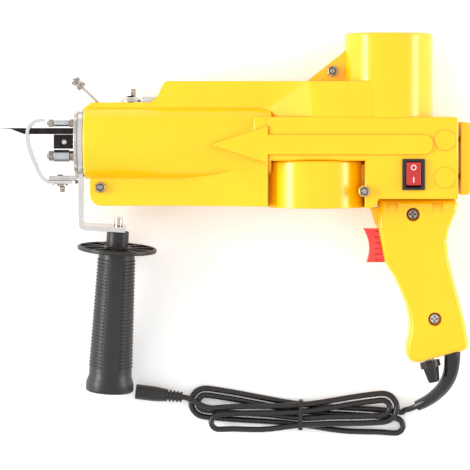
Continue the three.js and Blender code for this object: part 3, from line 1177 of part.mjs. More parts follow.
function footFasteners() {
  const seatBottom = TONGUE_PLATE_TOP_Y - TONGUE_PLATE - SEAM - FOOT_THICKNESS - SEAM;
  const washerBottom = seatBottom - FOOT_WASHER;
  const headTop = washerBottom - SEAM;
  const disc = bar(FOOT_WASHER_RADIUS, [FOOT_BOLT_X, washerBottom, 0], [FOOT_BOLT_X, seatBottom, 0], 28);
  const hole = bar(BOLT_RADIUS + SEAM, [FOOT_BOLT_X, washerBottom - OVERRUN, 0],
    [FOOT_BOLT_X, seatBottom + OVERRUN, 0], 16);
  const washer = cut(disc, hole);
  const bolt = join(
    hexagon(NUT_FLATS, [FOOT_BOLT_X, headTop - FOOT_BOLT_HEAD, 0], [FOOT_BOLT_X, headTop, 0]),
    bar(BOLT_RADIUS, [FOOT_BOLT_X, headTop - FOOT_BOLT_HEAD / 2, 0],
      [FOOT_BOLT_X, TONGUE_PLATE_TOP_Y + FOOT_BOLT_TIP, 0], 16),
  );
  return [part('foot_washer', washer, STEEL), part('foot_bolt', bolt, STEEL)];
}

function frontEnd() {
  return [
    part('front_flange', frontFlange(), STEEL),
    ...frontPin(UPPER_PIN),
    ...frontPin(LOWER_PIN),
    part('needle_clamp', needleClamp(), BLACK_STEEL),
    part('clamp_screw', clampScrew(), STEEL),
    part('needle', needle(), BLACK_STEEL),
    part('presser_foot', presserFoot(), STEEL),
    ...footFasteners(),
  ];
}

// Side handle

/** A point on the handle's axis, down from the underside of the arm, before the bracket is turned. */
function handlePoint(distance) {
  const bendX = BRACKET_FRONT_X;
  const armUnderY = ARM_Y - BRACKET_THICKNESS / 2 - (STUD_X - bendX) * Math.tan(ARM_TILT);
  return [STUD_X - distance * Math.sin(ARM_TILT), armUnderY - distance * Math.cos(ARM_TILT), 0];
}

/** Sheet steel bracket: a ring round the needle's window, a leg and an arm bent to the rear. */
function handleBracket() {
  const rear = BRACKET_FRONT_X + BRACKET_THICKNESS;
  const ring = cut(
    bar(RING_RADIUS, [BRACKET_FRONT_X, DRIVE_Y, 0], [rear, DRIVE_Y, 0], 40),
    bar(RING_BORE, [BRACKET_FRONT_X - OVERRUN, DRIVE_Y, 0], [rear + OVERRUN, DRIVE_Y, 0], 24),
  );
  const slope = Math.tan(ARM_TILT);
  const armTopAt = (x) => ARM_Y + BRACKET_THICKNESS / 2 - (x - BRACKET_FRONT_X) * slope;
  const armEnd = BRACKET_FRONT_X + ARM_LENGTH;
  const profile = roundedShape([
    [BRACKET_FRONT_X, DRIVE_Y - RING_BORE - OVERRUN],
    [BRACKET_FRONT_X, ARM_Y - BRACKET_THICKNESS / 2, BEND_RADIUS],
    [armEnd, armTopAt(armEnd) - BRACKET_THICKNESS],
    [armEnd, armTopAt(armEnd)],
    [rear, armTopAt(rear), BEND_RADIUS - BRACKET_THICKNESS],
    [rear, DRIVE_Y - RING_BORE - OVERRUN],
  ]);
  const studHole = bar(STUD_RADIUS + SEAM, handlePoint(-2 * BRACKET_THICKNESS),
    handlePoint(BRACKET_THICKNESS), 20);
  return cut(join(ring, plate(profile, [-LEG_HALF_WIDTH, LEG_HALF_WIDTH])), studHole);
}

function handleStud() {
  return join(
    bar(STUD_RADIUS, handlePoint(-BRACKET_THICKNESS - STUD_TOP), handlePoint(SEAM + STUD_GRIP), 20),
  );
}

function sideHandle() {
  const guardEnd = GUARD_POSITION + GUARD_THICKNESS;
  const chamfer = GUARD_THICKNESS / 4;
  const profile = [
    [0, 0],
    [NECK_RADIUS, 0],
    [NECK_RADIUS, GUARD_POSITION],
    [GUARD_RADIUS - chamfer, GUARD_POSITION],
    [GUARD_RADIUS, GUARD_POSITION + chamfer],
    [GUARD_RADIUS, guardEnd - chamfer],
    [GUARD_RADIUS - chamfer, guardEnd],
    [GRIP_TOP_RADIUS + chamfer, guardEnd],
    [GRIP_TOP_RADIUS, guardEnd + GUARD_THICKNESS],
    [GRIP_BOTTOM_RADIUS, FLARE_START],
    [FLARE_RADIUS, FLARE_FULL],
    [FLARE_RADIUS, HANDLE_LENGTH - HANDLE_ROUNDING],
    [FLARE_RADIUS - HANDLE_ROUNDING, HANDLE_LENGTH],
    [0, HANDLE_LENGTH],
  ];
  const body = turned(profile, 24);
  const pockets = Array.from({ length: GUARD_POCKETS }, (_, i) => guardPocket(i));
  const bore = bar(STUD_RADIUS + SEAM, [0, -OVERRUN, 0], [0, STUD_GRIP + 2 * SEAM, 0], 20);
  const handle = new THREE.Mesh(geometryOf(cut(body, bore, ...pockets)), BLACK_PLASTIC);
  handle.name = 'side_handle';
  const start = new THREE.Vector3(...handlePoint(SEAM));
  handle.position.copy(start);
  handle.rotation.z = Math.PI - ARM_TILT;
  return handle;
}

/** One wedge-shaped pocket in the guard's upper face. */
function guardPocket(index) {
  const pitch = 2 * Math.PI / GUARD_POCKETS;
  const inner = NECK_RADIUS + 2 * GUARD_RIM;
  const outer = GUARD_RADIUS - GUARD_RIM;
  const half = (radius) => pitch / 2 - GUARD_SPOKE_HALF_WIDTH / radius;
  const shape = new THREE.Shape();
  shape.absarc(0, 0, outer, -half(outer), half(outer), false);
  shape.absarc(0, 0, inner, half(inner), -half(inner), true);
  shape.closePath();
  return plate(shape, [-OVERRUN, GUARD_POCKET_DEPTH], 2)
    .rotateX(-Math.PI / 2)
    .translate(0, GUARD_POSITION, 0)
    .rotateY(pitch * index);
}

function handleGroup() {
  const group = new THREE.Group();
  group.position.y = DRIVE_Y;
  group.rotation.x = BRACKET_SWING;
  const level = new THREE.Group();
  level.position.y = -DRIVE_Y;
  level.add(
    part('handle_bracket', handleBracket(), STEEL),
    part('handle_stud', handleStud(), STEEL),
    sideHandle(),
  );
  group.add(level);
  return group;
}

// Yarn guide and adjuster

/** A point on the yarn guide's wire, measured outwards from the top of the web. */
function guidePoint(distance) {
  return [GUIDE_FOOT_X - distance * Math.sin(GUIDE_LEAN), WEB_TOP_Y + distance * Math.cos(GUIDE_LEAN), 0];
}

function yarnGuide() {
  const eyeEnd = GUIDE_EYE_AT + GUIDE_EYE_THICKNESS;
  const wire = join(
    bar(GUIDE_RADIUS, guidePoint(-GUIDE_DEPTH), guidePoint(GUIDE_LENGTH), 12),
    bar(GUIDE_EYE_RADIUS, guidePoint(GUIDE_EYE_AT), guidePoint(eyeEnd), 20),
  );
  const nuts = [
    { place: 'inner', from: GUIDE_EYE_AT - SEAM - GUIDE_NUT, to: GUIDE_EYE_AT - SEAM },
    { place: 'outer', from: eyeEnd + SEAM, to: eyeEnd + SEAM + GUIDE_NUT },
  ].map(({ place, from, to }) => part(`yarn_guide_${place}_nut`, cut(
    hexagon(GUIDE_NUT_FLATS, guidePoint(from), guidePoint(to)),
    bar(GUIDE_RADIUS + SEAM, guidePoint(from - OVERRUN), guidePoint(to + OVERRUN), 12),
  ), STEEL));
  return [part('yarn_guide', wire, STEEL), ...nuts];
}

function adjuster() {
  const base = WEB_TOP_Y + SEAM;
  const washerTop = base + ADJUSTER_WASHER;
  const washer = cut(turned([
    [0, base],
    [ADJUSTER_WASHER_RADIUS, base],
    [ADJUSTER_WASHER_RADIUS, base + ADJUSTER_WASHER * 0.3],
    [ADJUSTER_WASHER_RADIUS * 0.8, base + ADJUSTER_WASHER * 0.75],
    [ADJUSTER_WASHER_RADIUS * 0.5, washerTop],
    [0, washerTop],
  ], 20).translate(ADJUSTER_X, 0, 0),
  bar(BOLT_RADIUS + SEAM, [ADJUSTER_X, base - OVERRUN, 0], [ADJUSTER_X, washerTop + OVERRUN, 0], 16));
  const headBase = washerTop + SEAM;
  const bolt = join(
    bar(BOLT_RADIUS, [ADJUSTER_X, WEB_TOP_Y - ADJUSTER_DEPTH, 0], [ADJUSTER_X, headBase + SEAM, 0], 16),
    hexagon(NUT_FLATS, [ADJUSTER_X, headBase, 0], [ADJUSTER_X, headBase + ADJUSTER_HEAD, 0]),
  );
  const strap = block([ADJUSTER_PLATE_FRONT_X, ADJUSTER_PLATE_FRONT_X + ADJUSTER_PLATE_LENGTH],
    [base, base + ADJUSTER_PLATE], [-ADJUSTER_PLATE_HALF_WIDTH, ADJUSTER_PLATE_HALF_WIDTH]);
  return [
    part('adjuster_washer', washer, STEEL),
    part('adjuster_bolt', bolt, STEEL),
    part('adjuster_plate', strap, STEEL),
  ];
}

// Controls

function switchBody() {
  const face = BAND_HALF_WIDTH + SEAM;
  const wellHalfWidth = ROCKER_HALF_WIDTH + RUNNING_GAP;
  const wellHalfHeight = ROCKER_HALF_LENGTH + 2.5 * RUNNING_GAP;
  const bezel = block([SWITCH_X - BEZEL_HALF_WIDTH, SWITCH_X + BEZEL_HALF_WIDTH],
    [SWITCH_Y - BEZEL_HALF_HEIGHT, SWITCH_Y + BEZEL_HALF_HEIGHT], [face, face + BEZEL_HEIGHT]);
  const box = block([SWITCH_X - SWITCH_BODY_HALF_WIDTH, SWITCH_X + SWITCH_BODY_HALF_WIDTH],
    [SWITCH_Y - SWITCH_BODY_HALF_HEIGHT, SWITCH_Y + SWITCH_BODY_HALF_HEIGHT],
    [face - SWITCH_DEPTH, face + BEZEL_HEIGHT]);
  const well = block([SWITCH_X - wellHalfWidth, SWITCH_X + wellHalfWidth],
    [SWITCH_Y - wellHalfHeight, SWITCH_Y + wellHalfHeight],
    [face - SWITCH_WELL, face + BEZEL_HEIGHT + OVERRUN]);
  const terminals = [-1, 0, 1].map((place) => {
    const y = SWITCH_Y + place * TERMINAL_PITCH;
    return block([SWITCH_X - TERMINAL_HALF_WIDTH, SWITCH_X + TERMINAL_HALF_WIDTH],
      [y - TERMINAL_HALF_THICKNESS, y + TERMINAL_HALF_THICKNESS],
      [face - SWITCH_DEPTH - TERMINAL_LENGTH, face - SWITCH_DEPTH + OVERRUN]);
  });
  const pivotZ = BAND_HALF_WIDTH - ROCKER_PIVOT_DEPTH;
  const pinHole = bar(ROCKER_PIN_RADIUS + SEAM, [SWITCH_X - ROCKER_PIN_REACH - SEAM, SWITCH_Y, pivotZ],
    [SWITCH_X + ROCKER_PIN_REACH + SEAM, SWITCH_Y, pivotZ], 12);
  return cut(join(bezel, box, ...terminals), well, pinHole);
}

/** The rocker, made about its pivot, with two faces that meet in a crest. */
function rocker() {
  const crest = ROCKER_RISE + ROCKER_PIVOT_DEPTH;
  const shape = roundedShape([
    [-ROCKER_HALF_LENGTH, -ROCKER_PIVOT_DEPTH],
    [ROCKER_HALF_LENGTH, -ROCKER_PIVOT_DEPTH],
    [ROCKER_HALF_LENGTH, crest, EDGE / 2],
    [0, crest - EDGE / 2],
    [-ROCKER_HALF_LENGTH, crest, EDGE / 2],
  ]);
  const body = plate(shape, [-ROCKER_HALF_WIDTH, ROCKER_HALF_WIDTH])
    .rotateY(Math.PI / 2)
    .rotateX(Math.PI / 2);
  const pin = bar(ROCKER_PIN_RADIUS, [-ROCKER_PIN_REACH, 0, 0], [ROCKER_PIN_REACH, 0, 0], 12);
  const mesh = new THREE.Mesh(geometryOf(join(body, pin)), ROCKER_RED);
  mesh.name = 'rocker';
  mesh.position.set(SWITCH_X, SWITCH_Y, BAND_HALF_WIDTH - ROCKER_PIVOT_DEPTH);
  mesh.rotation.x = -ROCKER_TILT;
  return mesh;
}

function trigger() {
  const shape = new THREE.Shape();
  const middleY = (TRIGGER_TOP_Y + TRIGGER_BOTTOM_Y) / 2;
  shape.moveTo(TRIGGER_TOP_FRONT_X, TRIGGER_TOP_Y);
  shape.quadraticCurveTo(TRIGGER_BOTTOM_FRONT_X + TRIGGER_HOLLOW, middleY,
    TRIGGER_BOTTOM_FRONT_X, TRIGGER_BOTTOM_Y);
  shape.lineTo(TRIGGER_REAR_X, TRIGGER_BOTTOM_Y);
  shape.lineTo(TRIGGER_REAR_X, TRIGGER_TOP_Y);
  const paddle = plate(shape, [-TRIGGER_HALF_WIDTH, TRIGGER_HALF_WIDTH], 10);
  const stem = block([GRIP_FRONT_X, TRIGGER_STEM_REAR_X],
    [middleY - TRIGGER_STEM_HALF_HEIGHT, middleY + TRIGGER_STEM_HALF_HEIGHT],
    [-TRIGGER_STEM_HALF_WIDTH, TRIGGER_STEM_HALF_WIDTH]);
  const ribs = Array.from({ length: TRIGGER_RIBS }, (_, i) => {
    const y = middleY + (i - (TRIGGER_RIBS - 1) / 2) * TRIGGER_RIB_PITCH;
    return block([TRIGGER_RIB_X - TRIGGER_RIB_LENGTH / 2, TRIGGER_RIB_X + TRIGGER_RIB_LENGTH / 2],
      [y - TRIGGER_RIB_HEIGHT / 2, y + TRIGGER_RIB_HEIGHT / 2],
      [TRIGGER_HALF_WIDTH - TRIGGER_RIB_DEPTH, TRIGGER_HALF_WIDTH + OVERRUN]);
  });
  return cut(join(paddle, stem), ...ribs);
}

/** The middle height and the front of the switch behind the trigger. */
function triggerSwitchPlace() {
  return {
    middleY: (TRIGGER_TOP_Y + TRIGGER_BOTTOM_Y) / 2,
    front: TRIGGER_STEM_REAR_X + TRIGGER_TRAVEL + SEAM + PLUNGER_LENGTH,
  };
}

function triggerSwitch() {
  const { middleY, front } = triggerSwitchPlace();
  const plungerTip = front - PLUNGER_LENGTH;
  return join(
    block([front, front + TRIGGER_SWITCH_LENGTH],
      [middleY - TRIGGER_SWITCH_HALF_HEIGHT, middleY + TRIGGER_SWITCH_HALF_HEIGHT],
      [-TRIGGER_SWITCH_HALF_WIDTH, TRIGGER_SWITCH_HALF_WIDTH]),
    bar(PLUNGER_RADIUS, [plungerTip, middleY, 0], [front + OVERRUN, middleY, 0], 16),
  );
}

/** The knob with its skirt, made along its axis, with flutes round the tapered part. */
function speedKnob() {
  const start = GRIP_WALL;
  const profile = [
    [0, 0],
    [KNOB_SKIRT_RADIUS, 0],
    [KNOB_SKIRT_RADIUS, KNOB_SKIRT],
    [KNOB_TOP_RADIUS, KNOB_SKIRT],
    [KNOB_END_RADIUS, KNOB_LENGTH - HANDLE_ROUNDING / 2],
    [KNOB_END_RADIUS - HANDLE_ROUNDING / 2, KNOB_LENGTH],
    [0, KNOB_LENGTH],
  ];
  const flutes = Array.from({ length: KNOB_FLUTES }, (_, i) => {
    const angle = 2 * Math.PI * i / KNOB_FLUTES;
    const around = (radius, height) => [radius * Math.sin(angle), height, radius * Math.cos(angle)];
    return bar(KNOB_FLUTE_RADIUS, around(KNOB_TOP_RADIUS, KNOB_SKIRT + EDGE / 2),
      around(KNOB_END_RADIUS, KNOB_LENGTH + OVERRUN), 5);
  });
  const bore = bar(DIAL_SHAFT_RADIUS + SEAM, [0, -OVERRUN, 0], [0, DIAL_SHAFT + SEAM, 0], 20);
  const mesh = new THREE.Mesh(geometryOf(cut(turned(profile, 18), ...flutes, bore)), BLACK_PLASTIC);
  mesh.name = 'speed_knob';
  mesh.position.set(...dialPoint(start));
  mesh.rotation.z = Math.PI + DIAL_TILT;
  return mesh;
}

function speedDial() {
  const bodyEnd = -2 * GRIP_WALL;
  const neckEnd = GRIP_WALL - SEAM;
  return join(
    bar(DIAL_RADIUS, dialPoint(bodyEnd - DIAL_LENGTH), dialPoint(bodyEnd), 28),
    bar(DIAL_NECK_RADIUS, dialPoint(bodyEnd - OVERRUN), dialPoint(neckEnd), 20),
    bar(DIAL_SHAFT_RADIUS, dialPoint(neckEnd - OVERRUN), dialPoint(GRIP_WALL + DIAL_SHAFT - SEAM), 20),
  );
}

function controls() {
  return [
    part('switch_body', switchBody(), BLACK_PLASTIC),
    rocker(),
    part('trigger', trigger(), RED_PLASTIC),
    part('trigger_switch', triggerSwitch(), BLACK_PLASTIC),
    speedKnob(),
    part('speed_dial', speedDial(), MOTOR_STEEL),
  ];
}

// Cord

// Routes chosen by hand: x and y as on the whole machine, z up from the surface that it lies on.
const RELIEF_ROUTE = [
  [157.3, -94.5, 35.3], [157.3, -99.5, 35.3], [157.2, -107, 34.2], [156, -115.5, 30.6], [152.6, -124, 24.4],
  [146.8, -131.5, 17], [140, -137.2, 10.6], [134, -140.6, 6.8],
];
const LEAD_ROUTE = [[128.6, -143.2, 4.4], [124, -144.6, 2.9]];
const TAIL_ROUTE = [[-24, -140.4, 7.4], [-31, -136.4, 7.1]];
const CONNECTOR_MOUTH = [-72, -130.4, 5.9];
const CONNECTOR_END = [-38, -134.5, 5.9];

/** A point on the strain relief's axis near the sole; outwards is down along the grip. */
function reliefPoint(distance) {
  const [x, y] = RELIEF_ROUTE[1];
  return [x, y - distance, 0];
}

/** A tube of flat-sided rings round a row of points, with one radius or one for each point. */
function sweptTube(points, radius, sides) {
  const count = points.length;
  const radiusAt = (i) => (Array.isArray(radius) ? radius[i] : radius);
  const tangents = points.map((_, i) => new THREE.Vector3()
    .subVectors(points[Math.min(i + 1, count - 1)], points[Math.max(i - 1, 0)]).normalize());
  const normal = new THREE.Vector3(0, 0, 1).projectOnPlane(tangents[0]);
  if (normal.length() < MERGE_DISTANCE) {
    normal.copy(X_AXIS);
  }
  normal.normalize();
  const positions = [];
  points.forEach((point, i) => {
    normal.projectOnPlane(tangents[i]).normalize();
    const side = new THREE.Vector3().crossVectors(tangents[i], normal);
    for (let k = 0; k < sides; k += 1) {
      const angle = 2 * Math.PI * (k + 0.5) / sides;
      const rim = point.clone()
        .addScaledVector(normal, radiusAt(i) * Math.cos(angle))
        .addScaledVector(side, radiusAt(i) * Math.sin(angle));
      positions.push(rim.x, rim.y, rim.z);
    }
  });
  const triangles = [];
  for (let i = 0; i < count - 1; i += 1) {
    for (let k = 0; k < sides; k += 1) {
      const a = i * sides + k;
      const b = i * sides + (k + 1) % sides;
      triangles.push(a, b, b + sides, a, b + sides, a + sides);
    }
  }
  const last = (count - 1) * sides;
  for (let k = 1; k < sides - 1; k += 1) {
    triangles.push(0, k + 1, k, last, last + k, last + k + 1);
  }
  const geometry = new THREE.BufferGeometry();
  geometry.setAttribute('position', new THREE.Float32BufferAttribute(positions, 3));
  geometry.setIndex(triangles);
  return geometry;
}

const vectors = (rows) => rows.map((row) => new THREE.Vector3(...row));

/** Evenly spaced points on a smooth curve through a route. */
function smoothPoints(route, steps) {
  return new THREE.CatmullRomCurve3(route, false, 'centripetal').getSpacedPoints(steps);
}

/** A point of the hank from its own axes, which fan out with the layer: along, across and up. */
function hankPoint(along, across, up, layer) {
  return new THREE.Vector3(along, across, 0)
    .applyAxisAngle(new THREE.Vector3(0, 0, 1), HANK_TURN + (2 * layer - 1) * HANK_FAN)
    .add(new THREE.Vector3(HANK_X, HANK_Y, up));
}

/** Distance from the tie to the middle of the end bends of a layer. */
function hankHalfSpan(layer) {
  return THREE.MathUtils.lerp(HANK_LOWER_HALF_SPAN, HANK_UPPER_HALF_SPAN, layer);
}

/** Rises from nought to one within one third of a run. */
function thirdStep(share, third) {
  return THREE.MathUtils.smoothstep(share * HANK_CHANGES, third, third + 1);
}

/**
 * The middle line of the hank: four loops in two layers. The outer loop is laid first, the next one
 * inside it; that one climbs along a run, and the last ones lie on top from the inside out.
 */
function hankLine() {
  const loops = [
    { inFrom: 0, inTo: 1, third: 2, up: 0 },
    { inFrom: 1, inTo: 1, climb: 1, up: 0 },
    { inFrom: 1, inTo: 0, third: 0, up: 1 },
    { inFrom: 0, up: 1 },
  ];
  const points = [];
  const add = (share, side, inner, layer) => {
    const along = share * hankHalfSpan(layer);
    const draw = Math.sin(Math.PI * share / 2) ** 2;
    const across = THREE.MathUtils.lerp(HANK_WAIST, HANK_END_RADIUS, draw) - inner * CORD_STEP;
    const lift = TIE_LIFT * Math.max(0, 1 - (along / HANK_LIFT_REACH) ** 2) ** 2;
    points.push(hankPoint(along, side * across, CORD_RADIUS + SEAM + lift + layer * CORD_STEP, layer));
  };
  const bend = (end, inner, layer) => {
    const radius = HANK_END_RADIUS - inner * CORD_STEP;
    for (let i = 1; i <= HANK_BEND_STEPS; i += 1) {
      const angle = Math.PI * i / HANK_BEND_STEPS;
      const along = end * (hankHalfSpan(layer) + radius * Math.sin(angle));
      points.push(hankPoint(along, -end * radius * Math.cos(angle),
        CORD_RADIUS + SEAM + layer * CORD_STEP, layer));
    }
  };
  loops.forEach(({ inFrom, inTo, third = 0, climb, up }, loop) => {
    for (let i = loop === 0 ? 0 : 1; i <= HANK_RUN_STEPS; i += 1) {
      add(1 - 2 * i / HANK_RUN_STEPS, 1, inFrom, up);
    }
    if (inTo === undefined) {
      return;
    }
    bend(-1, inFrom, up);
    for (let i = 1; i <= HANK_RUN_STEPS; i += 1) {
      const share = i / HANK_RUN_STEPS;
      const inner = THREE.MathUtils.lerp(inFrom, inTo, thirdStep(share, third));
      const layer = climb === undefined ? up : up + thirdStep(share, climb);
      add(2 * share - 1, -1, inner, layer);
    }
    bend(1, inTo, up + (climb === undefined ? 0 : 1));
  });
  return points;
}

/** The least gap between turns of a tube, measured on points a millimetre apart. */
function leastGap(points, radius) {
  const samples = [];
  let run = 0;
  points.slice(1).forEach((point, i) => {
    const length = point.distanceTo(points[i]);
    const pieces = Math.ceil(length);
    for (let k = 0; k < pieces; k += 1) {
      samples.push({ at: run + length * k / pieces, point: points[i].clone().lerp(point, k / pieces) });
    }
    run += length;
  });
  let least = Infinity;
  samples.forEach((first, i) => {
    for (let k = i + 1; k < samples.length; k += 1) {
      if (samples[k].at - first.at > 6 * radius) {
        least = Math.min(least, first.point.distanceTo(samples[k].point) - 2 * radius);
      }
    }
  });
  return least;
}

function strainRelief() {
  const route = vectors(RELIEF_ROUTE);
  const steps = 12;
  const points = smoothPoints(route, steps);
  const radii = points.map((_, i) => THREE.MathUtils.lerp(RELIEF_TOP_RADIUS, RELIEF_END_RADIUS, i / steps));
  const [end, before] = [points.at(-1), points.at(-2)];
  const outwards = end.clone().sub(before).normalize();
  const bore = bar(CORD_RADIUS + SEAM, end.clone().addScaledVector(outwards, -RELIEF_BORE).toArray(),
    end.clone().addScaledVector(outwards, OVERRUN).toArray(), 16);
  return { shape: cut(sweptTube(points, radii, 14), bore), end, outwards };
}

/** The plug-in socket at the far end: a mouth with its pin, a body and a ribbed boot. */
function cordConnector() {
  const length = new THREE.Vector3(...CONNECTOR_MOUTH).distanceTo(new THREE.Vector3(...CONNECTOR_END));
  const ribPitch = (length - CONNECTOR_BODY) / (CONNECTOR_RIBS + CONNECTOR_RIB_SHARE);
  const ribs = Array.from({ length: CONNECTOR_RIBS + 1 }, (_, i) => {
    const start = CONNECTOR_BODY + i * ribPitch;
    const rib = THREE.MathUtils.lerp(CONNECTOR_NECK_RADIUS, CONNECTOR_BOOT_RADIUS, i / CONNECTOR_RIBS);
    const rest = CONNECTOR_GROOVE_RADIUS;
    const edges = [[rib, start], [rib, start + ribPitch * CONNECTOR_RIB_SHARE]];
    return i < CONNECTOR_RIBS
      ? [...edges, [rest, start + ribPitch * CONNECTOR_RIB_SHARE], [rest, start + ribPitch]]
      : edges;
  }).flat();
  const bore = CORD_RADIUS + SEAM;
  return alongLine(turned([
    [0, CONNECTOR_PIN_RECESS],
    [CONNECTOR_PIN_RADIUS, CONNECTOR_PIN_RECESS],
    [CONNECTOR_PIN_RADIUS, CONNECTOR_MOUTH_DEPTH],
    [CONNECTOR_MOUTH_RADIUS, CONNECTOR_MOUTH_DEPTH],
    [CONNECTOR_MOUTH_RADIUS, 0],
    [CONNECTOR_RADIUS, 0],
    [CONNECTOR_RADIUS, CONNECTOR_BODY * 0.6],
    ...ribs,
    [bore, length],
    [bore, length - CONNECTOR_BORE],
    [0, length - CONNECTOR_BORE],
  ], 12), CONNECTOR_MOUTH, CONNECTOR_END);
}

/** A strap round the waist of the hank. */
function cordTie() {
  const halfWidth = HANK_WAIST + CORD_RADIUS + SEAM;
  const bottom = SEAM;
  const top = TIE_LIFT + 2 * CORD_RADIUS + CORD_STEP + TIE_THICKNESS + 2 * SEAM;
  const ring = (step, radius) => roundedShape([
    [-halfWidth - step, bottom + TIE_THICKNESS - step, radius],
    [halfWidth + step, bottom + TIE_THICKNESS - step, radius],
    [halfWidth + step, top - TIE_THICKNESS + step, radius],
    [-halfWidth - step, top - TIE_THICKNESS + step, radius],
  ]);
  const outline = ring(TIE_THICKNESS, 2 * TIE_THICKNESS);
  const tie = cut(plate(outline, [-TIE_WIDTH / 2, TIE_WIDTH / 2]),
    plate(ring(0, TIE_THICKNESS), [-TIE_WIDTH / 2 - OVERRUN, TIE_WIDTH / 2 + OVERRUN]));
  const mesh = new THREE.Mesh(geometryOf(tie), BLACK_PLASTIC);
  mesh.name = 'cord_tie';
  mesh.position.copy(hankPoint(0, 0, 0, 0));
  mesh.rotation.set(Math.PI / 2, HANK_TURN + Math.PI / 2, 0);
  return mesh;
}

function cord() {
  const { shape: relief, end, outwards } = strainRelief();
  const hank = hankLine();
  const gap = leastGap(hank, CORD_RADIUS);
  console.log(`least gap of the hank to itself: ${gap.toFixed(2)} mm`);

  const start = hank[0];
  const inwards = hank[1].clone().sub(start).normalize();
  const leadEnd = start.clone().addScaledVector(inwards, -SEAM);
  const lead = smoothPoints([
    end.clone().addScaledVector(outwards, SEAM - RELIEF_BORE),
    end,
    end.clone().addScaledVector(outwards, CORD_RADIUS),
    ...vectors(LEAD_ROUTE),
    leadEnd.clone().addScaledVector(inwards, -2 * CORD_RADIUS),
    leadEnd,
  ], 12);

  const finish = hank.at(-1);
  const away = finish.clone().sub(hank.at(-2)).normalize();
  const tailStart = finish.clone().addScaledVector(away, SEAM);
  const socket = new THREE.Vector3(...CONNECTOR_END);
  const into = new THREE.Vector3(...CONNECTOR_MOUTH).sub(socket).normalize();
  const tail = smoothPoints([
    tailStart,
    tailStart.clone().addScaledVector(away, 2 * CORD_RADIUS),
    ...vectors(TAIL_ROUTE),
    socket.clone().addScaledVector(into, -CORD_RADIUS),
    socket,
    socket.clone().addScaledVector(into, CONNECTOR_BORE - SEAM),
  ], 12);

  const group = new THREE.Group();
  group.position.z = -BULGE_RADIUS;
  group.add(
    part('strain_relief', relief, BLACK_RUBBER),
    part('cord_lead', sweptTube(lead, CORD_RADIUS, 8), BLACK_RUBBER),
    part('cord_hank', sweptTube(hank, CORD_RADIUS, 6), BLACK_RUBBER),
    part('cord_tail', sweptTube(tail, CORD_RADIUS, 8), BLACK_RUBBER),
    part('cord_connector', cordConnector(), BLACK_PLASTIC),
    cordTie(),
  );
  return group;
}

const machine = new THREE.Group();
machine.add(
  ...casing(),
  ...rearCover(),
  ...casingBolts(),
  ...grip(),
  ...drive(),
  ...frontEnd(),
  handleGroup(),
  ...yarnGuide(),
  ...adjuster(),
  ...controls(),
  cord(),
);
machine.position.z = BULGE_RADIUS;

export default machine;
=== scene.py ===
"""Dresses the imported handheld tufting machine.

The shell, drive, front end, side handle, controls and cord each have a class that holds its sizes in
millimetres of the machine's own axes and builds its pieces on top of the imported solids.
"""

from __future__ import annotations

import json
import logging
import math
from dataclasses import dataclass, field
from enum import Enum
from typing import Any

import bmesh
import bpy
from mathutils import Matrix, Vector

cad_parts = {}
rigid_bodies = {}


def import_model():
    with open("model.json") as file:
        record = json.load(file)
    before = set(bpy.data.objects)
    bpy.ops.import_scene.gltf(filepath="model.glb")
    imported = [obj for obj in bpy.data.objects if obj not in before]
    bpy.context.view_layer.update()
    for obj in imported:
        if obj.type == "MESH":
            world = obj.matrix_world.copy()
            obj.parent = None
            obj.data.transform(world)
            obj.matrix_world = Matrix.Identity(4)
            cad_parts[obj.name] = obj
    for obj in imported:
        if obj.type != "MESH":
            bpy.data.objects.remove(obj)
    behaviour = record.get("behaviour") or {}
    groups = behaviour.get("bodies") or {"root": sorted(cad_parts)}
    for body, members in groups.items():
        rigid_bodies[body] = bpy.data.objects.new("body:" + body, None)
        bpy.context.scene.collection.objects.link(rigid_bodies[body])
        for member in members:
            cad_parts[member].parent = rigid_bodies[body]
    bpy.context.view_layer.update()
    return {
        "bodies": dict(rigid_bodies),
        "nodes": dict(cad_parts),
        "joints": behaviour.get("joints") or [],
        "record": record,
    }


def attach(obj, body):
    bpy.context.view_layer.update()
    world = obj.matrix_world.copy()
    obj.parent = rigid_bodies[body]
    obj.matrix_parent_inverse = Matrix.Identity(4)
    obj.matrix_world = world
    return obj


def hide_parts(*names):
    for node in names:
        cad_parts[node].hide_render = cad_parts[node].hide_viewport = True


LOG = logging.getLogger("tufting_machine")
MM = 0.001
PARTING_HEIGHT = 35.3  # of the parting plane above the surface, in millimetres
CLOUD_DETAIL = 3.0  # octaves of the slow change of shade
CLOUD_ROUGHNESS = 0.55
GRAIN_DETAIL = 2.0  # octaves of the fine texture
GRAIN_STRENGTH = 0.6  # share of the bump that shows
NOISE_BAND = (0.3, 0.7)  # where a noise pattern's values mostly lie
# Painted shade in corners and joints, set by the share of open sky that the ambient occlusion finds
OPEN_SKY = 0.95  # share of open sky at which a corner starts to darken
CLOSED_SKY = 0.35  # share at which it has the whole crevice shade
PAINTED_SHADE_SAMPLES = 8
EDGE_SAMPLES = 6
MERGE_DISTANCE = 1e-4  # in millimetres
PACKED_MERGE_DISTANCE = 2e-6  # in metres
FLAT_ANGLE = 0.6  # in degrees, below which packed faces are one flat face
CURVE_STEPS = 24  # between two points of a route


class Body(Enum):
    """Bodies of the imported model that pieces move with."""

    MACHINE = "machine"
    CRANK = "crank"
    MOTOR_PULLEY = "motor_pulley"
    NEEDLE = "needle_carriage"
    ROD = "connecting_rod"
    FOOT = "presser_foot"
    TRIGGER = "trigger"
    ROCKER = "rocker"
    KNOB = "speed_knob"


class Shading(Enum):
    """Angle in degrees up to which neighbouring faces look like one rounded face."""

    TURNED = 36.0
    MOULDED = 52.0


# Colours and materials


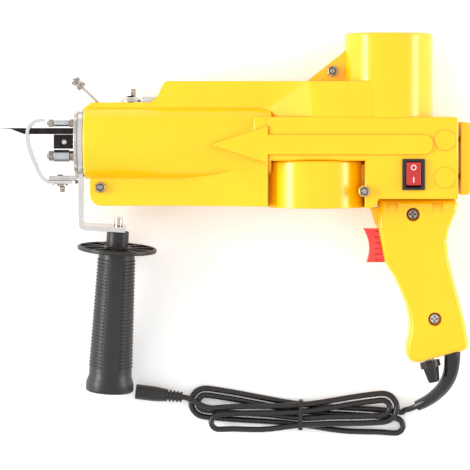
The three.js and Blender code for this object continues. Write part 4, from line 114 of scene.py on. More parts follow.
def linear(hex_colour: str) -> tuple[float, float, float, float]:
    """Turns an sRGB hex colour to linear values.

    Args:
        hex_colour: Six hex digits after a hash.

    Returns:
        Red, green, blue and alpha.
    """
    values = [int(hex_colour[i : i + 2], 16) / 255 for i in (1, 3, 5)]
    red, green, blue = (v / 12.92 if v <= 0.04045 else ((v + 0.055) / 1.055) ** 2.4 for v in values)
    return red, green, blue, 1.0


def add_node(
    tree: bpy.types.NodeTree, kind: str, inputs: dict[Any, Any] | None = None, **settings: Any
) -> bpy.types.Node:
    """Adds a node with its settings, values and links.

    Args:
        tree: The material's node tree.
        kind: The node's type name.
        inputs: Socket name or number to a value, or to the socket that it is linked from.
        settings: Properties of the node.

    Returns:
        The node.
    """
    made = tree.nodes.new(kind)
    for name, value in settings.items():
        setattr(made, name, value)
    for socket, value in (inputs or {}).items():
        if isinstance(value, bpy.types.NodeSocket):
            tree.links.new(value, made.inputs[socket])
        else:
            made.inputs[socket].default_value = value
    return made


@dataclass(frozen=True)
class Finish:
    """A surface finish: the real material, its two close shades, its grain and its gloss.

    Lengths are in millimetres. The grain is the fine texture of the mould, the blasting or the plating,
    the cloud is the slow change of shade and gloss over the surface, and the edge is how wide edges
    and inner corners look rounded, as a mould with softened corners leaves them. The painted crevice shade
    is shade painted into the colour of corners and joints, strongest where the least sky is open; on plastic
    it is painted light that stands for light coming back out through it.
    """

    name: str
    light: str
    dark: str
    roughness: float
    roughness_swing: float
    grain: float
    grain_depth: float
    cloud: float
    metallic: float = 0.0
    ior: float = 1.5
    edge: float = 0.0
    glow: float = 0.0
    # Painted shade: the colour painted into corners and joints, and how far the ambient occlusion looks
    painted_crevice_shade: str = ""
    painted_shade_reach: float = 1.5
    streak: tuple[float, float, float] = (1.0, 1.0, 1.0)

    def material(self) -> bpy.types.Material:
        """Builds the material, or returns it if it is there already.

        Returns:
            The material of this finish.
        """
        found = bpy.data.materials.get(self.name)
        if found is not None:
            return found
        made = bpy.data.materials.new(self.name)
        made.use_nodes = True
        made.diffuse_color = linear(self.light)
        tree = made.node_tree
        tree.nodes.clear()
        place = add_node(tree, "ShaderNodeTexCoord")
        stretched = add_node(
            tree, "ShaderNodeMapping", {"Vector": place.outputs["Object"], "Scale": self.streak}
        )
        cloud = add_node(
            tree,
            "ShaderNodeTexNoise",
            {
                "Vector": place.outputs["Object"],
                "Scale": 1 / (self.cloud * MM),
                "Detail": CLOUD_DETAIL,
                "Roughness": CLOUD_ROUGHNESS,
            },
        )
        grain = add_node(
            tree,
            "ShaderNodeTexNoise",
            {
                "Vector": stretched.outputs["Vector"],
                "Scale": 1 / (self.grain * MM),
                "Detail": GRAIN_DETAIL,
            },
        )
        low, high = NOISE_BAND
        blend = add_node(
            tree,
            "ShaderNodeMapRange",
            {"Value": cloud.outputs["Fac"], "From Min": low, "From Max": high},
        )
        shade = add_node(
            tree,
            "ShaderNodeMix",
            {0: blend.outputs["Result"], 6: linear(self.light), 7: linear(self.dark)},
            data_type="RGBA",
        )
        # Painted shade: the colour goes towards the crevice shade where little of the sky is open
        if self.painted_crevice_shade:
            open_sky = add_node(
                tree,
                "ShaderNodeAmbientOcclusion",
                {"Distance": self.painted_shade_reach * MM},
                samples=PAINTED_SHADE_SAMPLES,
            )
            closed = add_node(
                tree,
                "ShaderNodeMapRange",
                {"Value": open_sky.outputs["AO"], "From Min": OPEN_SKY, "From Max": CLOSED_SKY},
            )
            shade = add_node(
                tree,
                "ShaderNodeMix",
                {0: closed.outputs["Result"], 6: shade.outputs[2], 7: linear(self.painted_crevice_shade)},
                data_type="RGBA",
            )
        gloss = add_node(
            tree,
            "ShaderNodeMapRange",
            {
                "Value": grain.outputs["Fac"],
                "From Min": low,
                "From Max": high,
                "To Min": self.roughness - self.roughness_swing,
                "To Max": self.roughness + self.roughness_swing,
            },
        )
        relief = {
            "Height": grain.outputs["Fac"],
            "Strength": GRAIN_STRENGTH,
            "Distance": self.grain_depth * MM,
        }
        if self.edge:
            softened = add_node(tree, "ShaderNodeBevel", {"Radius": self.edge * MM}, samples=EDGE_SAMPLES)
            relief["Normal"] = softened.outputs["Normal"]
        bump = add_node(tree, "ShaderNodeBump", relief)
        settings = {
            "Base Color": shade.outputs[2],
            "Roughness": gloss.outputs["Result"],
            "Normal": bump.outputs["Normal"],
        }
        if self.glow:
            settings["Emission Color"] = linear(self.light)
            settings["Emission Strength"] = self.glow
        if self.metallic:
            settings["Metallic"] = self.metallic
        else:
            settings["IOR"] = self.ior
        shader = add_node(tree, "ShaderNodeBsdfPrincipled", settings)
        add_node(tree, "ShaderNodeOutputMaterial", {"Surface": shader.outputs["BSDF"]})
        return made


# Moulded ABS in a polished mould: soft sheen, faint sink marks, hardly any grain, and painted orange shade in
# its corners and joints.
YELLOW_ABS = Finish(
    "moulded_abs_yellow",
    "#ffc907",
    "#ffc404",
    0.24,
    0.03,
    0.9,
    0.006,
    26,
    ior=1.54,
    edge=0.9,
    painted_crevice_shade="#f5ad0c",
    painted_shade_reach=1.5,
)
# Glass-filled nylon: near black with a fine dull grain from the fibres.
BLACK_NYLON = Finish("glass_filled_nylon_black", "#1c1818", "#151313", 0.4, 0.08, 0.7, 0.02, 9, ior=1.53)
# Gloss ABS of the trigger: bright coral red with a clear sheen, with painted dark shade in the finger slots
# and corners.
RED_ABS = Finish(
    "moulded_abs_red",
    "#fb4641",
    "#ee3937",
    0.3,
    0.05,
    0.9,
    0.005,
    12,
    ior=1.54,
    painted_crevice_shade="#8c140e",
    painted_shade_reach=1.0,
)
# Polycarbonate rocker: deep red, the shiniest plastic on the machine.
ROCKER_POLYCARBONATE = Finish("polycarbonate_red", "#c2261c", "#b52018", 0.22, 0.03, 1.2, 0.003, 8, ior=1.58)
# Pad-printed marks on the rocker.
WHITE_INK = Finish("pad_print_ink_white", "#f2efec", "#e6e3e0", 0.5, 0.05, 0.5, 0.002, 4, ior=1.5)
# Bright zinc plate on sheet, studs and the mechanism: pale, slightly cloudy and faintly drawn, with painted
# shade in its corners.
ZINC_PLATE = Finish(
    "zinc_plated_steel",
    "#d6d2cd",
    "#bfbab5",
    0.22,
    0.06,
    0.5,
    0.01,
    5,
    metallic=1.0,
    painted_crevice_shade="#2c1c12",
    painted_shade_reach=1.1,
)
# Chromated zinc on small fasteners: warm blotches, and painted shade dark in every corner.
CHROMATED_ZINC = Finish(
    "chromated_zinc_steel",
    "#c9beb2",
    "#85756a",
    0.2,
    0.06,
    0.4,
    0.008,
    1.7,
    metallic=1.0,
    painted_crevice_shade="#1c110b",
    painted_shade_reach=1.7,
)
# Rolled zinc-plated strip, with the drawing lines of the mill across the sheet and painted shade in its
# corners.
ROLLED_STRIP = Finish(
    "rolled_zinc_plated_strip",
    "#dfdddb",
    "#d5d3d0",
    0.26,
    0.03,
    0.6,
    0.004,
    18,
    metallic=1.0,
    painted_crevice_shade="#3b3632",
    painted_shade_reach=0.9,
    streak=(1.0, 1.0, 0.08),
)
# Black oxide on hardened steel: deep brown-black, oily sheen.
BLACK_OXIDE = Finish("black_oxide_steel", "#3a3537", "#262123", 0.3, 0.08, 0.4, 0.008, 5, metallic=1.0)
# Turned aluminium: soft grey with tool marks.
TURNED_ALUMINIUM = Finish(
    "turned_aluminium", "#c9ccd0", "#b3b6bb", 0.32, 0.08, 0.4, 0.012, 8, metallic=1.0, streak=(1.0, 0.1, 1.0)
)
# Sintered bronze bush: warm, open-pored and oil soaked.
SINTERED_BRONZE = Finish("sintered_bronze", "#b07c43", "#946231", 0.42, 0.1, 0.35, 0.03, 4, metallic=1.0)
# Drawn motor can, electroplated grey.
MOTOR_CAN = Finish("electroplated_steel_can", "#a5a8ac", "#8b8e92", 0.33, 0.07, 0.5, 0.01, 10, metallic=1.0)
# Neoprene belt with fabric back: dull black.
NEOPRENE = Finish("neoprene_belt", "#2a2829", "#201e1f", 0.62, 0.08, 0.8, 0.05, 5, ior=1.52)
# Soft PVC sheath: black with a waxy gloss and slight drag marks from the extruder.
PVC_SHEATH = Finish("extruded_pvc_sheath", "#191517", "#131012", 0.27, 0.05, 1.6, 0.012, 14, ior=1.53)

# Opal acrylic of a light table: matt, white and faintly lit from below.
LIGHT_TABLE = Finish("opal_acrylic_white", "#fbfbfb", "#f7f7f7", 0.7, 0.04, 1.5, 0.01, 60, glow=0.16)


# Shapes


def at(x: float, y: float, z: float) -> Vector:
    """A point of the machine in millimetres, with z from the parting plane."""
    return Vector((x, y, z))


def turn_onto(direction: Vector) -> Matrix:
    """The rotation that brings +Z onto a direction."""
    return Vector((0, 0, 1)).rotation_difference(direction.normalized()).to_matrix().to_4x4()


def turned(
    profile: list[tuple[float, float]], start: Vector, direction: Vector, steps: int = 48
) -> bmesh.types.BMesh:
    """Spins a profile round an axis.

    Args:
        profile: Radius and distance along the axis, from one pole to the other or as a closed ring.
        start: Where the axis starts.
        direction: Where the axis points.
        steps: Number of flat sides.

    Returns:
        A closed mesh in millimetres.
    """
    bm = bmesh.new()
    verts = [bm.verts.new((radius, 0, height)) for radius, height in profile]
    pairs = list(zip(verts, verts[1:]))
    if profile[0][0] > 0:
        pairs.append((verts[-1], verts[0]))
    edges = [bm.edges.new(pair) for pair in pairs]
    bmesh.ops.spin(
        bm, geom=verts + edges, cent=(0, 0, 0), axis=(0, 0, 1), angle=2 * math.pi, steps=steps, use_merge=True
    )
    bmesh.ops.remove_doubles(bm, verts=bm.verts, dist=MERGE_DISTANCE)
    bmesh.ops.recalc_face_normals(bm, faces=bm.faces)
    bmesh.ops.transform(bm, matrix=Matrix.Translation(start) @ turn_onto(direction), verts=bm.verts)
    return bm


def block(low: Vector, high: Vector) -> bmesh.types.BMesh:
    """A box between two corners, in millimetres."""
    bm = bmesh.new()
    bmesh.ops.create_cube(bm, size=1.0)
    bmesh.ops.scale(bm, vec=high - low, verts=bm.verts)
    bmesh.ops.translate(bm, vec=(low + high) / 2, verts=bm.verts)
    return bm


def joined(*parts: bmesh.types.BMesh) -> bmesh.types.BMesh:
    """Puts several meshes into the first one."""
    whole = parts[0]
    for part in parts[1:]:
        spare = bpy.data.meshes.new("spare")
        part.to_mesh(spare)
        part.free()
        whole.from_mesh(spare)
        bpy.data.meshes.remove(spare)
    return whole


def tube_curve(name: str, points: list[Vector], radius: float) -> bpy.types.Object:
    """A round tube as a curve of one open spline.

    Args:
        name: The piece's name.
        points: Its middle line in metres.
        radius: Its radius in metres.

    Returns:
        The curve object.
    """
    curve = bpy.data.curves.new(name, "CURVE")
    curve.dimensions = "3D"
    curve.bevel_depth = radius
    curve.bevel_resolution = 5
    curve.use_fill_caps = True
    spline = curve.splines.new("POLY")
    spline.points.add(len(points) - 1)
    for point, where in zip(spline.points, points):
        point.co = (*where, 1.0)
    spline.use_smooth = True
    made = bpy.data.objects.new(name, curve)
    bpy.context.scene.collection.objects.link(made)
    return made


def smooth_line(route: list[Vector], spacing: float) -> list[Vector]:
    """Evenly spaced points on a centripetal curve through a route.

    Args:
        route: Points that the curve passes through.
        spacing: Wanted distance between the points.

    Returns:
        The points, with the route's two ends.
    """
    padded = [2 * route[0] - route[1], *route, 2 * route[-1] - route[-2]]
    fine: list[Vector] = []
    for p0, p1, p2, p3 in zip(padded, padded[1:], padded[2:], padded[3:]):
        t1 = max((p1 - p0).length, 1e-9) ** 0.5
        t2 = t1 + max((p2 - p1).length, 1e-9) ** 0.5
        t3 = t2 + max((p3 - p2).length, 1e-9) ** 0.5
        for k in range(CURVE_STEPS):
            t = t1 + (t2 - t1) * k / CURVE_STEPS
            a1 = p0.lerp(p1, t / t1)
            a2 = p1.lerp(p2, (t - t1) / (t2 - t1))
            a3 = p2.lerp(p3, (t - t2) / (t3 - t2))
            b1 = a1.lerp(a2, t / t2)
            b2 = a2.lerp(a3, (t - t1) / (t3 - t1))
            fine.append(b1.lerp(b2, (t - t1) / (t2 - t1)))
    fine.append(route[-1].copy())
    lengths = [0.0]
    for a, b in zip(fine, fine[1:]):
        lengths.append(lengths[-1] + (b - a).length)
    count = max(2, round(lengths[-1] / spacing))
    result: list[Vector] = []
    k = 0
    for i in range(count + 1):
        wanted = lengths[-1] * i / count
        while k < len(lengths) - 2 and lengths[k + 1] < wanted:
            k += 1
        share = (wanted - lengths[k]) / max(lengths[k + 1] - lengths[k], 1e-12)
        result.append(fine[k].lerp(fine[k + 1], share))
    return result


class Workshop:
    """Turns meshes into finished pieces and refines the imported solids."""

    def __init__(self, frame: dict[str, Any]) -> None:
        """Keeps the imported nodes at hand."""
        self.nodes: dict[str, bpy.types.Object] = frame["nodes"]
        self.slots: dict[str, str] = {s["node"]: s["material_slot"] for s in frame["record"]["subparts"]}

    def finished(
        self,
        name: str,
        bm: bmesh.types.BMesh,
        finish: Finish,
        body: Body,
        slot: str,
        replaces: tuple[str, ...] = (),
        shading: Shading = Shading.TURNED,
        in_frame: bool = False,
    ) -> bpy.types.Object:
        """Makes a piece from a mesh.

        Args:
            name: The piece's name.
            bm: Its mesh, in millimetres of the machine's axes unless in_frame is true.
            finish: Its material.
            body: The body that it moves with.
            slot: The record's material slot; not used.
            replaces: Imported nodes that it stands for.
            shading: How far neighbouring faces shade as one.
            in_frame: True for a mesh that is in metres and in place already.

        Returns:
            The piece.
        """
        if not in_frame:
            lift = Matrix.Translation((0, 0, PARTING_HEIGHT * MM)) @ Matrix.Scale(MM, 4)
            bmesh.ops.transform(bm, matrix=lift, verts=bm.verts)
        for face in bm.faces:
            face.smooth = True
        for edge in bm.edges:
            edge.smooth = not edge.is_manifold or edge.calc_face_angle(0.0) < math.radians(shading.value)
        mesh = bpy.data.meshes.new(name)
        bm.to_mesh(mesh)
        bm.free()
        mesh.materials.append(finish.material())
        made = bpy.data.objects.new(name, mesh)
        bpy.context.scene.collection.objects.link(made)
        weighted = made.modifiers.new("even_normals", "WEIGHTED_NORMAL")
        weighted.keep_sharp = True
        self.settle(made, body, slot, replaces)
        return made

    def settle(self, piece: bpy.types.Object, body: Body, slot: str, replaces: tuple[str, ...] = ()) -> None:
        """Ties a piece to its body, hides the nodes that it stands for, and reports it."""
        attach(piece, body.value)
        if replaces:
            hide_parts(*replaces)
        LOG.info("%s rides on %s and stands for %s", piece.name, body.value, ", ".join(replaces) or "itself")

    def copied(self, node: str) -> bmesh.types.BMesh:
        """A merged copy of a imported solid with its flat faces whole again, in metres.

        Args:
            node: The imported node.

        Returns:
            The copy as a closed mesh.
        """
        bm = bmesh.new()
        bm.from_mesh(self.nodes[node].data)
        bmesh.ops.remove_doubles(bm, verts=bm.verts, dist=PACKED_MERGE_DISTANCE)
        bmesh.ops.dissolve_limit(
            bm,
            angle_limit=math.radians(FLAT_ANGLE),
            use_dissolve_boundaries=False,
            verts=bm.verts,
            edges=bm.edges,
        )
        return bm

    def refine(
        self,
        node: str,
        finish: Finish,
        body: Body,
        edge: float = 0.0,
        shading: Shading = Shading.TURNED,
        segments: int = 2,
    ) -> bpy.types.Object:
        """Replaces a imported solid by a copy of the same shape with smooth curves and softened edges.

        Args:
            node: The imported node.
            finish: The piece's material.
            body: The body that it moves with.
            edge: Width of the softened edges in millimetres, or nought for none.
            shading: How far neighbouring faces shade as one.
            segments: Steps across a softened edge.

        Returns:
            The piece.
        """
        made = self.finished(
            f"{node}_skin", self.copied(node), finish, body, self.slots[node], (node,), shading, in_frame=True
        )
        if edge > 0:
            soft = made.modifiers.new("soft_edges", "BEVEL")
            soft.width = edge * MM
            soft.segments = segments
            soft.limit_method = "ANGLE"
            soft.angle_limit = math.radians(shading.value)
            soft.harden_normals = True
            soft.use_clamp_overlap = True
            while made.modifiers[0].name != "soft_edges":
                made.modifiers.move(1, 0)
        return made


# Studio


@dataclass
class Studio:
    """The camera above the machine, the pale floor and the soft lights."""

    middle_x: float = 0.6
    middle_y: float = -14.7
    distance: float = 2400.0
    lens: float = 255.3
    pitch: float = 2.5
    zenith_strength: float = 1.04
    horizon_strength: float = 0.8
    zenith_height: float = 0.85
    table_half_size: float = 3.0
    table_squares: int = 8
    light_target: float = 0.03

    def build(self) -> None:
        """Makes the camera, floor, lights and sky."""
        self.camera()
        self.floor()
        self.lights()

    def camera(self) -> None:
        """Puts the camera over the middle of the picture, looking almost straight down."""
        data = bpy.data.cameras.new("camera")
        data.lens = self.lens
        data.sensor_width = 36.0
        data.clip_start = 0.05
        data.clip_end = 20.0
        made = bpy.data.objects.new("camera", data)
        bpy.context.scene.collection.objects.link(made)
        lean = math.radians(self.pitch)
        target = Vector((self.middle_x, self.middle_y, PARTING_HEIGHT)) * MM
        made.location = target + Vector((0, math.sin(lean), math.cos(lean))) * self.distance * MM
        made.rotation_euler = (-lean, 0, 0)
        bpy.context.scene.camera = made

    def floor(self) -> None:
        """Lays a wide matt table top under the machine."""
        bm = bmesh.new()
        bmesh.ops.create_grid(
            bm, x_segments=self.table_squares, y_segments=self.table_squares, size=self.table_half_size
        )
        mesh = bpy.data.meshes.new("table_top")
        bm.to_mesh(mesh)
        bm.free()
        made = bpy.data.objects.new("table_top", mesh)
        bpy.context.scene.collection.objects.link(made)
        mesh.materials.append(LIGHT_TABLE.material())

    def lights(self) -> None:
        """Hangs soft lights at the picture's sides under a sky that is brighter towards its horizon."""
        world = bpy.data.worlds.new("studio_sky")
        bpy.context.scene.world = world
        world.use_nodes = True
        tree = world.node_tree
        tree.nodes.clear()
        place = add_node(tree, "ShaderNodeTexCoord")
        height = add_node(tree, "ShaderNodeSeparateXYZ", {"Vector": place.outputs["Generated"]})
        strength = add_node(
            tree,
            "ShaderNodeMapRange",
            {
                "Value": height.outputs["Z"],
                "From Min": 0.0,
                "From Max": self.zenith_height,
                "To Min": self.horizon_strength,
                "To Max": self.zenith_strength,
            },
        )
        sky = add_node(
            tree, "ShaderNodeBackground", {"Color": linear("#ffffff"), "Strength": strength.outputs["Result"]}
        )
        add_node(tree, "ShaderNodeOutputWorld", {"Surface": sky.outputs["Background"]})
        self.softbox("light_left", (-1.52, 0.15, 0.72), (0.42, 1.1), 21)
        self.softbox("light_right", (1.5, 0.15, 0.5), (0.45, 1.0), 11)

    def softbox(
        self, name: str, place: tuple[float, float, float], size: tuple[float, float], watts: float
    ) -> None:
        """Makes one rectangular light that faces the machine.

        Args:
            name: The light's name.
            place: Where it hangs, in metres.
            size: Its width and height, in metres.
            watts: Its power.
        """
        data = bpy.data.lights.new(name, "AREA")
        data.shape = "RECTANGLE"
        data.size, data.size_y = size
        data.energy = watts
        made = bpy.data.objects.new(name, data)
        bpy.context.scene.collection.objects.link(made)
        made.location = place
        made.rotation_mode = "QUATERNION"
        aim = Vector((0, 0, self.light_target)) - made.location
        made.rotation_quaternion = aim.to_track_quat("-Z", "X")


# Sub-assemblies


@dataclass
class Shell:
    """The casing halves, rear cover and grip halves."""

    shop: Workshop
    edge: float = 0.7
    halves: tuple[str, ...] = ("casing_left", "casing_right", "grip_left", "grip_right")

    def build(self) -> None:
        """Makes the yellow mouldings."""
        for node in self.halves:
            self.shop.refine(node, YELLOW_ABS, Body.MACHINE, 0.0, Shading.MOULDED)
        self.shop.refine("rear_cover", YELLOW_ABS, Body.MACHINE, self.edge, Shading.MOULDED)


@dataclass
class Fasteners:
    """Bolts, nuts and screws of the shell and the front end."""

    shop: Workshop
    nuts: tuple[str, ...] = (
        "casing_nut_front",
        "casing_nut_top",
        "casing_nut_rear",
        "upper_pin_front_nut",
        "upper_pin_rear_nut",
        "lower_pin_front_nut",
        "lower_pin_rear_nut",
        "yarn_guide_inner_nut",
        "yarn_guide_outer_nut",
    )
    bolts: tuple[str, ...] = (
        "casing_bolt_front",
        "casing_bolt_top",
        "casing_bolt_rear",
        "foot_bolt",
        "adjuster_bolt",
    )
    cover_screws: tuple[str, ...] = ("rear_cover_screw_upper", "rear_cover_screw_lower")

    def build(self) -> None:
        """Makes every fastener."""
        for node in (*self.nuts, *self.bolts, *self.cover_screws):
            self.shop.refine(node, CHROMATED_ZINC, Body.MACHINE, 0.3)
        self.shop.refine("grip_screw_upper", CHROMATED_ZINC, Body.MACHINE, 0.15)
        self.shop.refine("grip_screw_lower", ZINC_PLATE, Body.MACHINE, 0.15)


@dataclass
class Drive:
    """The mechanism that the casing hides."""

    shop: Workshop
    finishes: dict[str, tuple[Finish, Body]] = field(
        default_factory=lambda: {
            "crank_wheel": (TURNED_ALUMINIUM, Body.CRANK),
            "crank_axle": (ZINC_PLATE, Body.MACHINE),
            "motor_pulley": (TURNED_ALUMINIUM, Body.MOTOR_PULLEY),
            "motor": (MOTOR_CAN, Body.MACHINE),
            "timing_belt": (NEOPRENE, Body.MACHINE),
            "connecting_rod": (ZINC_PLATE, Body.ROD),
            "needle_carriage": (ZINC_PLATE, Body.NEEDLE),
            "slide_bush": (SINTERED_BRONZE, Body.MACHINE),
            "speed_dial": (MOTOR_CAN, Body.MACHINE),
            "trigger_switch": (BLACK_NYLON, Body.MACHINE),
        }
    )

    def build(self) -> None:
        """Gives the hidden pieces smooth curves and their metals."""
        for node, (finish, body) in self.finishes.items():
            self.shop.refine(node, finish, body, 0.25)


@dataclass
class FrontEnd:
    """Flange, pins, needle and presser foot."""

    shop: Workshop

    def build(self) -> None:
        """Makes the steel pieces at the barrel's front."""
        shop = self.shop
        shop.refine("front_flange", ZINC_PLATE, Body.MACHINE, 0.35)
        shop.refine("upper_pin", TURNED_ALUMINIUM, Body.MACHINE, 0.2)
        shop.refine("lower_pin", TURNED_ALUMINIUM, Body.MACHINE, 0.2)
        shop.refine("needle_clamp", BLACK_OXIDE, Body.NEEDLE, 0.4)
        shop.refine("clamp_screw", ZINC_PLATE, Body.NEEDLE, 0.15)
        shop.refine("needle", BLACK_OXIDE, Body.NEEDLE, 0.12)
        shop.refine("presser_foot", ROLLED_STRIP, Body.FOOT, 0.25)
        shop.refine("foot_washer", ZINC_PLATE, Body.MACHINE, 0.25)


@dataclass
class SideHandle:
    """The steel bracket with the stud, and the handle with its guard and ribbed bands."""

    shop: Workshop
    start: Vector = field(default_factory=lambda: at(-83.817, -12.056, 30.122 - PARTING_HEIGHT))
    axis: Vector = field(default_factory=lambda: Vector((-0.05756, -0.99513, -0.08007)))
    length: float = 117.4
    neck_radius: float = 8.0
    guard_radius: float = 28.7
    guard_position: float = 11.6
    guard_thickness: float = 2.8
    guard_rim: float = 2.2
    guard_spokes: int = 10
    grip_top_radius: float = 13.0
    grip_bottom_radius: float = 15.5
    flare_radius: float = 17.3
    flare_start: float = 105.8
    flare_full: float = 111.0
    ridges: int = 32
    ridge_pitch: float = 2.5
    ridge_start: float = 21.0
    ridge_height: float = 0.55
    ridge_half_angle: float = 64.0
    ridge_sink: float = 0.5
    ridge_lip: float = 0.02
    ridge_foot: float = 0.75
    ridge_crest: float = 0.35
    ridge_steps: int = 14
    bore_radius: float = 3.4
    bore_depth: float = 3.0
    neck_edge: float = 0.6
    neck_fillet: float = 0.8
    groove_depth: float = 1.3
    rim_round: tuple[tuple[float, float], ...] = ((0.7, 0.0), (0.2, 0.3), (0.0, 0.9))
    grip_root: tuple[tuple[float, float], ...] = ((1.4, 0.0), (0.3, 0.6), (0.0, 1.8))
    grip_stations: tuple[float, ...] = (60.0, 103.0)
    flare_foot: tuple[float, float] = (0.9, 2.0)
    flare_brow: tuple[float, float] = (0.3, 1.0)
    end_round: tuple[tuple[float, float], ...] = ((0.0, 1.8), (0.4, 0.8), (1.2, 0.15), (2.2, 0.0))
    spoke_half_width: float = 0.9
    spoke_sink: float = 0.4
    spoke_clearance: float = 0.02
    spoke_height: float = 1.5
    sides: int = 72

    def build(self) -> None:
        """Makes the bracket, stud and handle."""
        self.shop.refine("handle_bracket", ROLLED_STRIP, Body.MACHINE, 0.35)
        self.shop.refine("handle_stud", ZINC_PLATE, Body.MACHINE, 0.3)
        self.shop.finished(
            "side_handle_moulding",
            joined(self.core(), *self.spokes(), *self.bands()),
            BLACK_NYLON,
            Body.MACHINE,
            "black_plastic",
            ("side_handle",),
            Shading.TURNED,
        )

    def grip_radius(self, along: float) -> float:
        """Radius of the grip at a distance from the handle's top."""
        share = (along - self.guard_position - self.guard_thickness) / (
            self.flare_start - self.guard_position - self.guard_thickness
        )
        return self.grip_top_radius + (self.grip_bottom_radius - self.grip_top_radius) * min(max(share, 0), 1)

    def core(self) -> bmesh.types.BMesh:
        """The turned body with its guard, groove and bead.

        Returns:
            The mesh.
        """
        top = self.guard_position
        end = top + self.guard_thickness
        rim = self.guard_radius
        collar = self.neck_radius + self.guard_rim
        floor = top + self.groove_depth
        flare = self.flare_radius
        foot_out, foot_along = self.flare_foot
        brow_in, brow_back = self.flare_brow
        profile = [
            (0.0, self.bore_depth),
            (self.bore_radius, self.bore_depth),
            (self.bore_radius, 0.0),
            (self.neck_radius - self.neck_edge, 0.0),
            (self.neck_radius, self.neck_edge),
            (self.neck_radius, top - self.neck_fillet),
            (self.neck_radius + self.neck_fillet, top),
            (collar, top),
            (collar, floor),
            (rim - self.guard_rim, floor),
            (rim - self.guard_rim, top),
            *((rim - inset, top + rise) for inset, rise in self.rim_round),
            *((rim - inset, end - rise) for inset, rise in reversed(self.rim_round)),
            *((self.grip_top_radius + out, end + along) for out, along in self.grip_root),
            *((self.grip_radius(along), along) for along in self.grip_stations),
            (self.grip_bottom_radius, self.flare_start),
            (self.grip_bottom_radius + foot_out, self.flare_start + foot_along),
            (flare - brow_in, self.flare_full - brow_back),
            (flare, self.flare_full),
            *((flare - inset, self.length - back) for inset, back in self.end_round),
            (0.0, self.length),
        ]
        return turned(profile, self.start, self.axis, self.sides)

    def spokes(self) -> list[bmesh.types.BMesh]:
        """The ribs that part the guard's groove into pockets.

        Returns:
            One mesh for each rib.
        """
        made = []
        inner = self.neck_radius + self.guard_rim - self.spoke_sink
        outer = self.guard_radius - self.guard_rim + self.spoke_sink
        for i in range(self.guard_spokes):
            angle = 2 * math.pi * (i + 0.5) / self.guard_spokes
            rib = block(
                Vector((inner, -self.spoke_half_width, self.guard_position + self.spoke_clearance)),
                Vector((outer, self.spoke_half_width, self.guard_position + self.spoke_height)),
            )
            place = Matrix.Translation(self.start) @ turn_onto(self.axis) @ Matrix.Rotation(angle, 4, "Z")
            bmesh.ops.transform(rib, matrix=place, verts=rib.verts)
            made.append(rib)
        return made

    def bands(self) -> list[bmesh.types.BMesh]:
        """Fine ridges across the grip, in one band on each side.

        Returns:
            One mesh for each ridge.
        """
        made = []
        frame = Matrix.Translation(self.start) @ turn_onto(self.axis)
        left = frame.inverted().to_3x3() @ Vector((-1, 0, 0))
        middle = math.atan2(left.y, left.x)
        for i in range(self.ridges):
            along = self.ridge_start + i * self.ridge_pitch
            radius = self.grip_radius(along)
            for side in (middle, middle + math.pi):
                made.append(self.ridge(radius, along, side, frame))
        return made

    def ridge(self, radius: float, along: float, middle: float, frame: Matrix) -> bmesh.types.BMesh:
        """One ridge: a small rounded section swept part of the way round the grip.

        Args:
            radius: Radius of the grip there.
            along: Distance from the handle's top.
            middle: Angle of the ridge's middle.
            frame: The handle's axes.

        Returns:
            The mesh.
        """
        half = math.radians(self.ridge_half_angle)
        bm = bmesh.new()
        section = [
            (radius - self.ridge_sink, -self.ridge_foot),
            (radius + self.ridge_lip, -self.ridge_foot),
            (radius + self.ridge_height, -self.ridge_crest),
            (radius + self.ridge_height, self.ridge_crest),
            (radius + self.ridge_lip, self.ridge_foot),
            (radius - self.ridge_sink, self.ridge_foot),
        ]
        across, up = math.cos(middle - half), math.sin(middle - half)
        verts = [bm.verts.new((r * across, r * up, along + h)) for r, h in section]
        first = bm.faces.new(verts)
        bmesh.ops.spin(
            bm,
            geom=[first],
            cent=(0, 0, 0),
            axis=(0, 0, 1),
            angle=2 * half,
            steps=self.ridge_steps,
            use_duplicate=False,
        )
        bmesh.ops.recalc_face_normals(bm, faces=bm.faces)
        bmesh.ops.transform(bm, matrix=frame, verts=bm.verts)
        return bm


@dataclass
class TopFittings:
    """Yarn guide and adjuster on top of the barrel."""

    shop: Workshop

    def build(self) -> None:
        """Makes the wire with its eye, the washer and the plate."""
        self.shop.refine("yarn_guide", ZINC_PLATE, Body.MACHINE, 0.2)
        self.shop.refine("adjuster_washer", ZINC_PLATE, Body.MACHINE, 0.25)
        self.shop.refine("adjuster_plate", ROLLED_STRIP, Body.MACHINE, 0.3)


